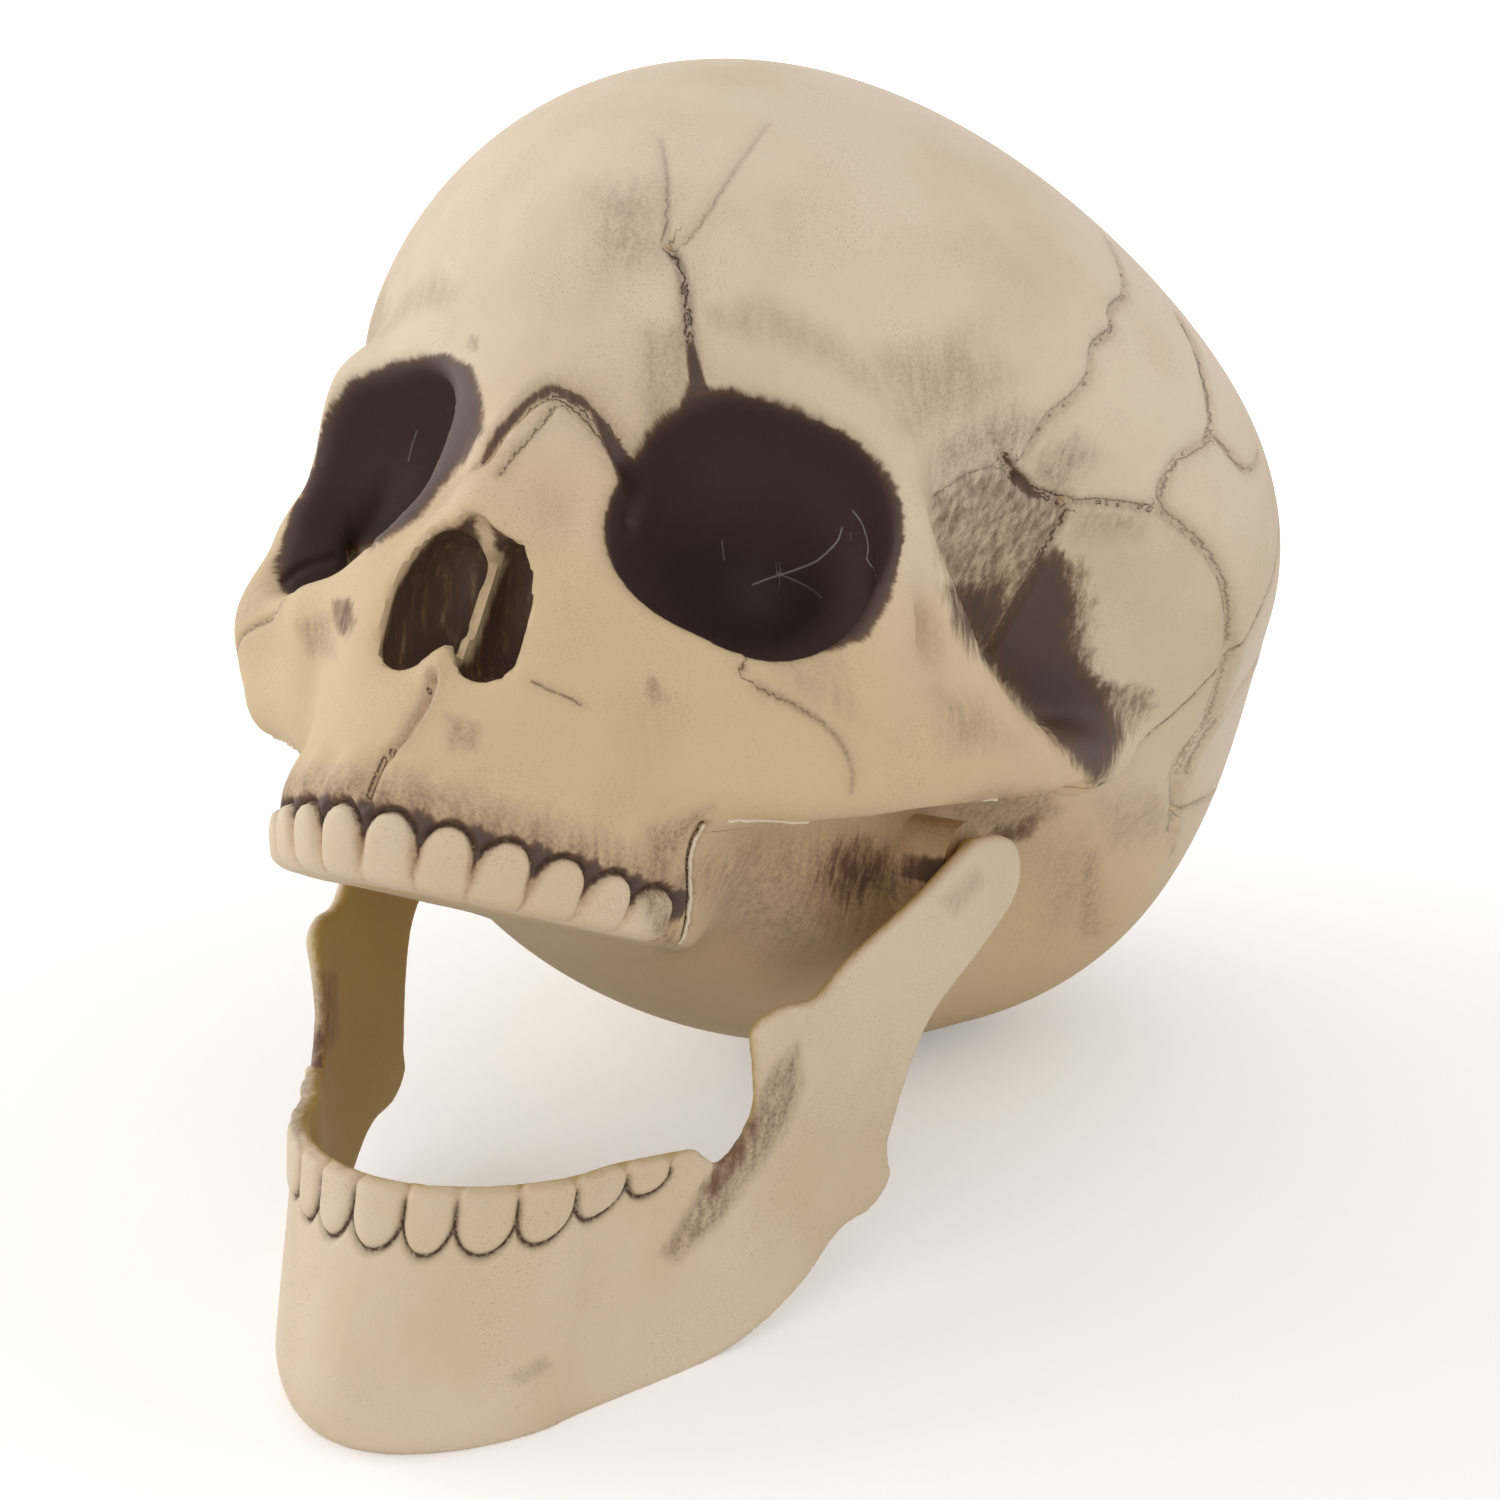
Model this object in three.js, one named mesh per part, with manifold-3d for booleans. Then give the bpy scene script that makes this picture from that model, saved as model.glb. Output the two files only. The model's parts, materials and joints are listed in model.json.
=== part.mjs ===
import * as THREE from 'three';
import { mergeVertices } from 'three/addons/utils/BufferGeometryUtils.js';
import Module from 'manifold-3d';

// Halloween skull decoration: two thin moulded skull halves and a jaw that swings on two pins.
// Millimetres. The skull is drawn level, with its ear line at y = 0, z = 0, the face towards -Y
// and its left side towards +X. At the end it leans back and stands on its chin and its occiput.

// Shells
const shellWall = 2.2;
const faceWall = 4;
const seamGap = 0.7;
const seamSetBack = 2.2;
const seamSetDown = 0.6;
const footTrim = 0.6;

// Jaw and hinge
const hingeY = -4.5;
const hingeZ = -15;
const jawOpenAngle = 24;
const jawWall = 2.5;
const jawBlankMargin = 5;
const earClearance = 0.4;
const earBossRadius = 6.5;
const earBossDepth = 2.2;
const skullBossRadius = 9;
const skullBossDepth = 12;
const condyleClearRadius = 17;

// Pins and washers
const pinRadius = 2.4;
const pinHeadRadius = 5;
const pinHeadThickness = 2;
const pinClearance = 0.3;
const pinSocketFloor = 1;
const slotLength = 4;
const slotAngle = 233;
const washerRadius = 8;
const washerThickness = 1.2;
const washerClearance = 1;

// Teeth
const teethPerSide = 6;
const upperToothWidth = 8.6;
const upperToothHeight = 13;
const lowerToothWidth = 8;
const lowerToothHeight = 11;
const toothRelief = 1.7;
const toothGap = 0.6;

// Cranium: rounded masses, each with the width over which it melts into the rest
const vault = { centre: [0, 6, 51], radii: [80.5, 84.5, 55.5] };
const frontal = { centre: [0, -26, 50], radii: [53, 68.5, 52.5], blend: 26 };
const occiput = { centre: [0, 57, 26], radii: [63, 46.5, 57], blend: 22 };
const skullBase = { centre: [0, -2, -20.5], radii: [42, 62, 24.5], blend: 18 };
const temple = { centre: [88, -40, 8], radii: [36, 36, 36], blend: 18 };

// Face: rounded masses, and bars given as points with a radius at each point
const midface = { centre: [0, -54, -2], radii: [38, 36, 42] };
const alveolus = { centre: [0, -68, -42], radii: [29, 36, 22] };
const upperMaxilla = { centre: [0, -62, -24], radii: [28, 34, 27], blend: 12 };
const brow = [[8, -82, 27, 7], [22, -79, 32, 7], [40, -70, 29, 7]];
const cheekUpperEdge = [[41, -71, 29, 6.5], [47, -64, 20, 5.5], [51, -55, 13, 5],
  [56, -38, 0, 6], [58.5, -20, -0.5, 6.5], [60, -4, 7, 6], [59, 8, 14, 7]];
const outerEyeRim = [[44, -69, 20, 6], [49, -66, 5, 6], [47, -67, -8, 7]];
const cheekLowerEdge = [[32, -72, -21, 8], [43, -66, -19, 8], [50, -58, -15, 7],
  [55, -45, -9, 6], [59, -26, -1, 4]];
const cheekBody = [[44, -66, -8, 8], [51, -56, -4, 7], [56, -40, -3, 6]];
const cheekWeb = [[41, -50, -6, 8], [42, -34, -4, 8], [49, -14, 2, 8]];
const eyeSocketBack = [[37, -50, 22, 6], [38, -51, 8, 8], [38, -50, -4, 8]];
const lowerEyeRim = [[16, -86, -7, 7], [30, -80, -9, 8], [43, -69, -8, 7]];
const noseBridge = [[0, -86, 25, 6], [0, -91, 14, 6.5], [0, -96, 4, 6]];
const noseSide = [[9, -83, 22, 7], [13, -85, 2, 8], [14, -84, -22, 9]];
const eyeSocket = { centre: [33, -80, 11.5], radii: [19.5, 22, 18.5] };
const eyeSocketDroop = 12;
const eyeSocketTurn = 22;
const eyeSocketDeep = { centre: [25, -66, 11], radii: [12, 17, 11] };
const noseHole = [[0, -97, -2, 3.5], [6.5, -92, -18, 7]];
const cheekRecess = { centre: [64, -34, -38], radii: [30, 54, 50] };

// Widths over which the face's masses and bars melt together
const maxillaBlend = 14;
const browBlend = 14;
const cheekEdgeBlend = 6;
const cheekPlateBlend = 8;
const cheekBlend = 10;
const webBlend = 6;
const eyeRimBlend = 9;
const noseBridgeBlend = 6;
const noseSideBlend = 8;
const faceBlend = 6;

// Rounding where an edge is cut
const biteRounding = 2;
const eyeSocketRounding = 5;
const eyeSocketDepthBlend = 6;
const noseHoleRounding = 3;
const recessRounding = 2;

// Seam seen from the side, as [y, z]: front of the teeth, rear molar, cheek corner, arch end, crown
const biteFront = [-104, -55];
const biteRear = [-54, -46];
const cheekCorner = [-71, -30];
const archEnd = [-1, 6];
const seamCrown = [[15, 11], [12, 30], [15, 50], [17, 120]];

// Jaw seen from the side when shut, as [y, z] from the hinge: lower border, back edge, top edge
const jawLowerBorder = [[-95, -81], [-84, -78.6], [-71, -75.6], [-62, -73.5], [-52, -71], [-44, -67.3],
  [-35.5, -60.5], [-27.5, -53.7], [-19, -51.5]];
const jawBackEdge = [[-14.5, -47], [-16, -41], [-14, -28], [-10, -20], [0, -12.5], [10, -5]];
const jawTopEdge = [[12, 1], [8, 6], [-2, 7.5], [-11, 5], [-34, -7.5], [-42, -14], [-50, -15],
  [-54.5, -18]];
const jawFrontEdge = [[-52.5, -24.4], [-51, -31.4], [-55, -38.5]];
const jawMolarRear = [-60, -36];
const jawBite = [-92, -41];

// Jaw seen from above, as [half width, y] at the lower border, at the bite and at the condyles
const jawLowerPlan = { halfWidth: 27.5, depth: 34, turn: -61, back: [[43, -30], [46.5, -17], [52, 16]] };
const jawBitePlan = { halfWidth: 28.5, depth: 30.5, turn: -61.5, back: [[39.5, -50], [46.5, -17], [53, 16]] };
const jawCondylePlan = { halfWidth: 40, depth: 35, turn: -66, back: [[45.5, -45], [51, -19], [54, 16]] };

const chinBulge = 4;
const chinHeight = -68;
const chinSpread = 15;

// The wall thickens towards the face, from this depth on
const faceWallRear = -25;
const faceWallBlend = 25;

// Fineness of the moulded surfaces
const fineStep = 7;
const coarseStep = 12;
const liningFineStep = 10;
const liningStep = 14;
const fineHalfWidth = 54;
const fineDepth = -42;
const fineHeight = 38;
const jawLevelStep = 15;
const jawColumns = 20;

const wasm = await Module();
wasm.setup();

const degrees = Math.PI / 180;

function solid(geometry) {
  geometry.deleteAttribute('normal');
  geometry.deleteAttribute('uv');
  const merged = mergeVertices(geometry, 1e-4);
  return new wasm.Manifold(new wasm.Mesh({
    numProp: 3,
    vertProperties: new Float32Array(merged.attributes.position.array),
    triVerts: new Uint32Array(merged.index.array),
  }));
}

function geometryOf(body) {
  const mesh = body.getMesh();
  const geometry = new THREE.BufferGeometry();
  geometry.setAttribute('position', new THREE.BufferAttribute(new Float32Array(mesh.vertProperties), 3));
  geometry.setIndex(new THREE.BufferAttribute(new Uint32Array(mesh.triVerts), 1));
  geometry.computeVertexNormals();
  return geometry;
}

// Distance to an ellipsoid, near enough for blending and offsets
function ellipsoid(x, y, z, { centre, radii }) {
  const a = (x - centre[0]) / radii[0];
  const b = (y - centre[1]) / radii[1];
  const c = (z - centre[2]) / radii[2];
  const near = Math.hypot(a, b, c);
  const slope = Math.hypot(a / radii[0], b / radii[1], c / radii[2]) + 1e-9;
  return near * (near - 1) / slope;
}

// Distance to a bar whose points each carry a radius
function bar(x, y, z, points) {
  let best = Infinity;
  for (let i = 0; i + 1 < points.length; i += 1) {
    const [ax, ay, az, ar] = points[i];
    const [bx, by, bz, br] = points[i + 1];
    const ux = bx - ax;
    const uy = by - ay;
    const uz = bz - az;
    const along = ((x - ax) * ux + (y - ay) * uy + (z - az) * uz) / (ux * ux + uy * uy + uz * uz);
    const t = Math.min(1, Math.max(0, along));
    const gap = Math.hypot(x - ax - ux * t, y - ay - uy * t, z - az - uz * t);
    best = Math.min(best, gap - (ar + (br - ar) * t));
  }
  return best;
}

function join(a, b, blend) {
  const h = Math.max(blend - Math.abs(a - b), 0) / blend;
  return Math.min(a, b) - h * h * blend / 4;
}

function cut(a, b, blend) {
  return -join(-a, b, blend);
}

// Signed distance from a line in the side view, positive to the left of its direction
function sideOf(y, z, from, to) {
  const dy = to[0] - from[0];
  const dz = to[1] - from[1];
  return (dy * (z - from[1]) - dz * (y - from[0])) / Math.hypot(dy, dz);
}

const socketFrame = new THREE.Matrix4()
  .makeRotationZ(eyeSocketTurn * degrees)
  .multiply(new THREE.Matrix4().makeRotationY(eyeSocketDroop * degrees))
  .transpose();
const socketPoint = new THREE.Vector3();

function eyeSocketAt(x, y, z) {
  const [cx, cy, cz] = eyeSocket.centre;
  socketPoint.set(x - cx, y - cy, z - cz).applyMatrix4(socketFrame);
  const centred = { centre: [0, 0, 0], radii: eyeSocket.radii };
  const mouth = ellipsoid(socketPoint.x, socketPoint.y, socketPoint.z, centred);
  return join(mouth, ellipsoid(x, y, z, eyeSocketDeep), eyeSocketDepthBlend);
}

function craniumAt(x, y, z) {
  let d = ellipsoid(x, y, z, vault);
  for (const mass of [frontal, occiput, skullBase]) d = join(d, ellipsoid(x, y, z, mass), mass.blend);
  return cut(d, ellipsoid(x, y, z, temple), temple.blend);
}

// The solid middle of the face, without its brows, cheeks and nose
function faceCoreAt(x, y, z) {
  const maxilla = join(ellipsoid(x, y, z, alveolus), ellipsoid(x, y, z, upperMaxilla), upperMaxilla.blend);
  return join(ellipsoid(x, y, z, midface), maxilla, maxillaBlend);
}

function faceAt(x, y, z) {
  const cheekEdges = join(bar(x, y, z, cheekUpperEdge), bar(x, y, z, outerEyeRim), cheekEdgeBlend);
  const cheekPlate = join(bar(x, y, z, cheekLowerEdge), bar(x, y, z, cheekBody), cheekPlateBlend);
  let d = join(faceCoreAt(x, y, z), bar(x, y, z, brow), browBlend);
  d = join(d, join(cheekEdges, cheekPlate, cheekPlateBlend), cheekBlend);
  d = join(d, bar(x, y, z, cheekWeb), webBlend);
  d = join(d, bar(x, y, z, eyeSocketBack), webBlend);
  d = join(d, bar(x, y, z, lowerEyeRim), eyeRimBlend);
  d = join(d, bar(x, y, z, noseBridge), noseBridgeBlend);
  d = join(d, bar(x, y, z, noseSide), noseSideBlend);
  return cut(d, sideOf(y, z, biteFront, biteRear), biteRounding);
}

function recessAt(x, y, z) {
  const underCheek = sideOf(y, z, cheekCorner, archEnd);
  const behindMolar = sideOf(y, z, biteRear, cheekCorner);
  return Math.max(ellipsoid(x, y, z, cheekRecess), underCheek, behindMolar);
}

// The hollow stays out of the brows, cheeks and nose, which are moulded solid
function hollowAt(px, y, z) {
  const x = Math.abs(px);
  const core = join(craniumAt(x, y, z), faceCoreAt(x, y, z), faceBlend);
  const share = Math.min(1, Math.max(0, (faceWallRear - y) / faceWallBlend));
  return Math.max(core, skullAt(x, y, z)) + shellWall + (faceWall - shellWall) * share;
}

function skullAt(px, y, z) {
  const x = Math.abs(px);
  let d = join(craniumAt(x, y, z), faceAt(x, y, z), faceBlend);
  d = cut(d, eyeSocketAt(x, y, z), eyeSocketRounding);
  d = cut(d, bar(x, y, z, noseHole), noseHoleRounding);
  return cut(d, recessAt(x, y, z), recessRounding);
}

// Step positions across one direction of the box that holds the skull
function stepsBetween(low, high, step) {
  const count = Math.ceil((high - low) / step);
  return Array.from({ length: count + 1 }, (_, i) => low + (high - low) * i / count);
}

function slopeAt(field, v, reach) {
  return new THREE.Vector3(
    field(v.x + reach, v.y, v.z) - field(v.x - reach, v.y, v.z),
    field(v.x, v.y + reach, v.z) - field(v.x, v.y - reach, v.z),
    field(v.x, v.y, v.z + reach) - field(v.x, v.y, v.z - reach),
  ).divideScalar(2 * reach);
}

// Closed surface where the field is zero: one point in each cell that the surface crosses, slid onto it
function surfaceOf(field, xs, ys, zs) {
  const nx = xs.length;
  const ny = ys.length;
  const nz = zs.length;
  const at = (i, j, k) => i + nx * (j + ny * k);
  const values = new Float64Array(nx * ny * nz);
  for (let k = 0; k < nz; k += 1) {
    for (let j = 0; j < ny; j += 1) {
      for (let i = 0; i < nx; i += 1) values[at(i, j, k)] = field(xs[i], ys[j], zs[k]);
    }
  }
  const corners = [0, 1, 2, 3, 4, 5, 6, 7].map((c) => [c & 1, (c >> 1) & 1, c >> 2]);
  const edges = [];
  for (let a = 0; a < 8; a += 1) {
    for (const bit of [1, 2, 4]) if (!(a & bit)) edges.push([a, a | bit]);
  }
  const positions = [];
  const cellPoint = new Map();
  for (let k = 0; k + 1 < nz; k += 1) {
    for (let j = 0; j + 1 < ny; j += 1) {
      for (let i = 0; i + 1 < nx; i += 1) {
        const v = corners.map(([a, b, c]) => values[at(i + a, j + b, k + c)]);
        const sum = new THREE.Vector3();
        let crossings = 0;
        for (const [a, b] of edges) {
          if ((v[a] < 0) === (v[b] < 0)) continue;
          const t = v[a] / (v[a] - v[b]);
          const from = corners[a];
          const to = corners[b];
          sum.x += xs[i + from[0]] + (xs[i + to[0]] - xs[i + from[0]]) * t;
          sum.y += ys[j + from[1]] + (ys[j + to[1]] - ys[j + from[1]]) * t;
          sum.z += zs[k + from[2]] + (zs[k + to[2]] - zs[k + from[2]]) * t;
          crossings += 1;
        }
        if (!crossings) continue;
        const point = sum.divideScalar(crossings);
        for (let pass = 0; pass < 4; pass += 1) {
          const slope = slopeAt(field, point, 0.2);
          const move = field(point.x, point.y, point.z) / Math.max(slope.lengthSq(), 0.05);
          point.addScaledVector(slope, -Math.max(-1, Math.min(1, move)));
        }
        cellPoint.set(at(i, j, k), positions.length / 3);
        positions.push(point.x, point.y, point.z);
      }
    }
  }
  const index = [];
  const quad = (a, b, c, d) => index.push(a, b, c, a, c, d);
  for (let k = 1; k + 1 < nz; k += 1) {
    for (let j = 1; j + 1 < ny; j += 1) {
      for (let i = 1; i + 1 < nx; i += 1) {
        const here = values[at(i, j, k)] < 0;
        const spans = [
          [values[at(i + 1, j, k)] < 0, [[i, j - 1, k - 1], [i, j, k - 1], [i, j, k], [i, j - 1, k]]],
          [values[at(i, j + 1, k)] < 0, [[i - 1, j, k - 1], [i - 1, j, k], [i, j, k], [i, j, k - 1]]],
          [values[at(i, j, k + 1)] < 0, [[i - 1, j - 1, k], [i, j - 1, k], [i, j, k], [i - 1, j, k]]],
        ];
        for (const [there, cells] of spans) {
          if (here === there) continue;
          const ring = cells.map(([a, b, c]) => cellPoint.get(at(a, b, c)));
          if (here) quad(ring[0], ring[1], ring[2], ring[3]);
          else quad(ring[3], ring[2], ring[1], ring[0]);
        }
      }
    }
  }
  const geometry = new THREE.BufferGeometry();
  geometry.setAttribute('position', new THREE.Float32BufferAttribute(positions, 3));
  geometry.setIndex(index);
  return geometry;
}

const boxMargin = 12;

function skullSurface(field, fine, coarse) {
  const half = vault.radii[0] + boxMargin;
  const front = biteFront[0] - boxMargin;
  const back = occiput.centre[1] + occiput.radii[1] + boxMargin;
  const low = biteFront[1] - boxMargin;
  const high = vault.centre[2] + vault.radii[2] + boxMargin;
  const outer = stepsBetween(fineHalfWidth, half, coarse).slice(1);
  const side = [...stepsBetween(0, fineHalfWidth, fine), ...outer];
  const xs = [...side.slice(1).reverse().map((x) => -x), ...side];
  const ys = [...stepsBetween(front, fineDepth, fine), ...stepsBetween(fineDepth, back, coarse).slice(1)];
  const zs = [...stepsBetween(low, fineHeight, fine), ...stepsBetween(fineHeight, high, coarse).slice(1)];
  return solid(surfaceOf(field, xs, ys, zs));
}

// A side-view outline, as [y, z], made into a bar across the whole width
const barWidth = 260;

function acrossWidth(shape, curveSegments, pose = new THREE.Matrix4()) {
  const geometry = new THREE.ExtrudeGeometry(shape, { depth: barWidth, bevelEnabled: false, curveSegments });
  geometry.translate(0, 0, -barWidth / 2);
  geometry.applyMatrix4(new THREE.Matrix4().makeBasis(
    new THREE.Vector3(0, 1, 0), new THREE.Vector3(0, 0, 1), new THREE.Vector3(1, 0, 0)));
  return solid(geometry.applyMatrix4(pose));
}

const points2 = (list) => list.map(([y, z]) => new THREE.Vector2(y, z));

// Everything behind and below the seam, moved on by the given gap
const farOut = 160;

function behindSeam(gap) {
  const back = seamSetBack + gap;
  const down = seamSetDown + gap / 2;
  const path = [[biteRear[0], -farOut], biteRear, cheekCorner, archEnd, ...seamCrown]
    .map(([y, z]) => [y + back, z - down]);
  const outline = [...path, [farOut, seamCrown.at(-1)[1]], [farOut, -farOut]];
  return acrossWidth(new THREE.Shape(points2(outline)), 1);
}

// A round rod along X, centred on the hinge axis
function hingeRod(radius, fromX, toX, sides = 20) {
  const geometry = new THREE.CylinderGeometry(radius, radius, Math.abs(toX - fromX), sides);
  geometry.rotateZ(Math.PI / 2);
  geometry.translate((fromX + toX) / 2, hingeY, hingeZ);
  return solid(geometry);
}

// A tooth crown: a flattened ball, set on a wall with its width along the wall
function crown(width, height, place, outward, pose = new THREE.Matrix4()) {
  const geometry = new THREE.SphereGeometry(1, 8, 6);
  geometry.scale((width - toothGap) / 2, toothRelief, height / 2);
  geometry.rotateZ(Math.atan2(outward.y, outward.x) + Math.PI / 2);
  geometry.translate(place.x, place.y, place.z);
  return solid(geometry.applyMatrix4(pose));
}

// Upper teeth sit round the front of the maxilla, with their tips on the bite
const archCentreY = alveolus.centre[1];

function biteHeight(y) {
  return biteFront[1] + (biteRear[1] - biteFront[1]) * (y - biteFront[0]) / (biteRear[0] - biteFront[0]);
}

function maxillaWall(angle) {
  const centre = new THREE.Vector3(0, archCentreY, 0);
  const outward = new THREE.Vector3(Math.sin(angle), -Math.cos(angle), 0);
  let reach = 10;
  for (let i = 0; i < 40; i += 1) {
    const y = archCentreY + outward.y * reach;
    reach -= faceAt(Math.abs(outward.x * reach), y, biteHeight(y) + upperToothHeight / 2) * 0.7;
  }
  return { reach, wall: centre.addScaledVector(outward, reach) };
}

function upperTeeth() {
  const crowns = [];
  for (const side of [-1, 1]) {
    let angle = 0;
    for (let i = 0; i < teethPerSide; i += 1) {
      const turn = upperToothWidth / maxillaWall(angle).reach;
      const middle = side * (angle + turn / 2);
      const { wall } = maxillaWall(middle);
      const ahead = maxillaWall(middle + 0.05).wall.sub(maxillaWall(middle - 0.05).wall);
      const outward = new THREE.Vector3(ahead.y, -ahead.x, 0).normalize();
      wall.z = biteHeight(wall.y) + upperToothHeight / 2;
      crowns.push(crown(upperToothWidth, upperToothHeight, wall, outward));
      angle += turn;
    }
  }
  return crowns;
}

// Jaw wall: a U of even thickness, built level by level, then trimmed to its side view
function planCurve(plan) {
  const points = [];
  for (let turn = 0; turn <= 90; turn += 15) {
    const a = turn * degrees;
    points.push(new THREE.Vector2(plan.halfWidth * Math.sin(a), plan.turn - plan.depth * Math.cos(a)));
  }
  return new THREE.SplineCurve([...points, ...points2(plan.back)]);
}

const jawPlanLevels = [
  [jawLowerBorder[0][1], planCurve(jawLowerPlan)],
  [jawBite[1], planCurve(jawBitePlan)],
  [0, planCurve(jawCondylePlan)],
];

function jawOutline(u, z) {
  const levels = jawPlanLevels;
  const upper = z < levels[1][0] ? 1 : 2;
  const [lowZ, low] = levels[upper - 1];
  const [highZ, high] = levels[upper];
  const mix = Math.min(1, Math.max(0, (z - lowZ) / (highZ - lowZ)));
  const point = low.getPoint(u).lerp(high.getPoint(u), mix);
  const bulge = Math.exp(-(((z - chinHeight) / chinSpread) ** 2) - (point.x / chinSpread) ** 2);
  point.y -= chinBulge * bulge;
  return point;
}

// Outline point and outward direction on the jaw's outside, with u from -1 at the right to 1 at the left
function jawOutside(u, z) {
  const side = Math.sign(u) || 1;
  const reach = Math.abs(u);
  const here = jawOutline(reach, z);
  const before = jawOutline(Math.max(0, reach - 0.01), z);
  const after = jawOutline(Math.min(1, reach + 0.01), z);
  const along = after.sub(before).normalize();
  const outward = reach < 1e-6 ? new THREE.Vector2(0, -1) : new THREE.Vector2(along.y, -along.x);
  here.x *= side;
  outward.x *= side;
  return { point: here, outward };
}

function jawWallGeometry() {
  const bottom = jawLowerBorder[0][1] - jawBlankMargin;
  const levels = stepsBetween(bottom, jawTopEdge[2][1] + jawBlankMargin, jawLevelStep);
  const columns = 2 * jawColumns + 1;
  const positions = [];
  for (const inner of [0, 1]) {
    for (const z of levels) {
      for (let c = 0; c < columns; c += 1) {
        const { point, outward } = jawOutside(c / jawColumns - 1, z);
        positions.push(point.x - inner * jawWall * outward.x, point.y - inner * jawWall * outward.y, z);
      }
    }
  }
  const at = (inner, level, c) => (inner * levels.length + level) * columns + c;
  const index = [];
  const quad = (a, b, c, d) => index.push(a, b, c, a, c, d);
  const top = levels.length - 1;
  const last = columns - 1;
  for (let c = 0; c < last; c += 1) {
    for (let l = 0; l < top; l += 1) {
      quad(at(0, l, c), at(0, l, c + 1), at(0, l + 1, c + 1), at(0, l + 1, c));
      quad(at(1, l, c), at(1, l + 1, c), at(1, l + 1, c + 1), at(1, l, c + 1));
    }
    quad(at(0, 0, c), at(1, 0, c), at(1, 0, c + 1), at(0, 0, c + 1));
    quad(at(0, top, c), at(0, top, c + 1), at(1, top, c + 1), at(1, top, c));
  }
  for (let l = 0; l < top; l += 1) {
    quad(at(0, l, 0), at(0, l + 1, 0), at(1, l + 1, 0), at(1, l, 0));
    quad(at(0, l, last), at(1, l, last), at(1, l + 1, last), at(0, l + 1, last));
  }
  const geometry = new THREE.BufferGeometry();
  geometry.setAttribute('position', new THREE.Float32BufferAttribute(positions, 3));
  geometry.setIndex(index);
  return geometry;
}

function jawSideView() {
  const shape = new THREE.Shape();
  shape.moveTo(-farOut, jawLowerBorder[0][1]);
  shape.lineTo(...jawLowerBorder[0]);
  const rear = [...jawLowerBorder.slice(1), ...jawBackEdge, ...jawTopEdge, ...jawFrontEdge, jawMolarRear];
  shape.splineThru(points2(rear));
  shape.lineTo(...jawBite);
  shape.lineTo(-farOut, jawBite[1]);
  return shape;
}

const jawPose = new THREE.Matrix4().makeRotationX(jawOpenAngle * degrees).setPosition(0, hingeY, hingeZ);

function lowerTeeth() {
  const crowns = [];
  const length = planCurve(jawBitePlan).getLength();
  for (const side of [-1, 1]) {
    for (let i = 0; i < teethPerSide; i += 1) {
      const u = side * (i + 0.5) * lowerToothWidth / length;
      const z = jawBite[1] - lowerToothHeight / 2;
      const { point, outward } = jawOutside(u, z);
      const place = new THREE.Vector3(point.x, point.y, z);
      crowns.push(crown(lowerToothWidth, lowerToothHeight, place, outward, jawPose));
    }
  }
  return crowns;
}

const skin = skullSurface(skullAt, fineStep, coarseStep);
const hollow = skullSurface(hollowAt, liningFineStep, liningStep);

// Hinge places along X, from the middle of the head outwards
const jawOutsideAtHinge = jawOutside(jawHingeReach(), 0).point.x;
const earFace = jawOutsideAtHinge - jawWall - earBossDepth;
const skullBossFace = earFace - earClearance;
const skullBossEnd = skullBossFace - skullBossDepth;
const socketEnd = jawOutsideAtHinge - pinSocketFloor;
const washerFace = skullBossEnd - pinClearance;
const pinHeadFace = washerFace - washerThickness - pinClearance;
const bayEnd = pinHeadFace - pinHeadThickness - washerClearance;

// Place along the jaw's outline where it passes the hinge
function jawHingeReach() {
  let low = 0.5;
  let high = 1;
  for (let i = 0; i < 40; i += 1) {
    const middle = (low + high) / 2;
    if (jawOutline(middle, 0).y < 0) low = middle;
    else high = middle;
  }
  return (low + high) / 2;
}

function slotCutter(side) {
  const radius = pinRadius + pinClearance;
  const slide = slotLength / 2;
  const shape = new THREE.Shape();
  shape.absarc(slide, 0, radius, -Math.PI / 2, Math.PI / 2);
  shape.absarc(-slide, 0, radius, Math.PI / 2, Math.PI * 1.5);
  const length = barWidth / 2;
  const geometry = new THREE.ExtrudeGeometry(shape, { depth: length, bevelEnabled: false, curveSegments: 8 });
  geometry.translate(slide, 0, 0);
  geometry.rotateZ(slotAngle * degrees);
  geometry.applyMatrix4(new THREE.Matrix4().makeBasis(
    new THREE.Vector3(0, 1, 0), new THREE.Vector3(0, 0, 1), new THREE.Vector3(1, 0, 0)));
  geometry.translate(side > 0 ? bayEnd : -bayEnd - length, hingeY, hingeZ);
  return solid(geometry);
}

function makeFaceShell() {
  let body = skin;
  for (const tooth of upperTeeth()) body = body.add(tooth);
  return body.subtract(hollow).subtract(behindSeam(0));
}

function makeBackShell() {
  let body = skin.subtract(hollow).intersect(behindSeam(seamGap));
  for (const side of [-1, 1]) {
    body = body.add(hingeRod(skullBossRadius, side * skullBossEnd, side * skullBossFace));
    const clearEnd = jawOutsideAtHinge + condyleClearRadius;
    body = body.subtract(hingeRod(condyleClearRadius, side * skullBossFace, side * clearEnd, 32));
    body = body.subtract(slotCutter(side));
    body = body.subtract(hingeRod(washerRadius + washerClearance, side * skullBossEnd, side * bayEnd, 28));
  }
  return body;
}

function makeJaw() {
  let body = solid(jawWallGeometry().applyMatrix4(jawPose));
  for (const tooth of lowerTeeth()) body = body.add(tooth);
  body = body.intersect(acrossWidth(jawSideView(), 2, jawPose));
  for (const side of [-1, 1]) {
    body = body.add(hingeRod(earBossRadius, side * earFace, side * (jawOutsideAtHinge - jawWall / 2)));
    body = body.subtract(hingeRod(pinRadius + pinClearance, side * skullBossFace, side * socketEnd, 16));
  }
  return body;
}

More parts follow.
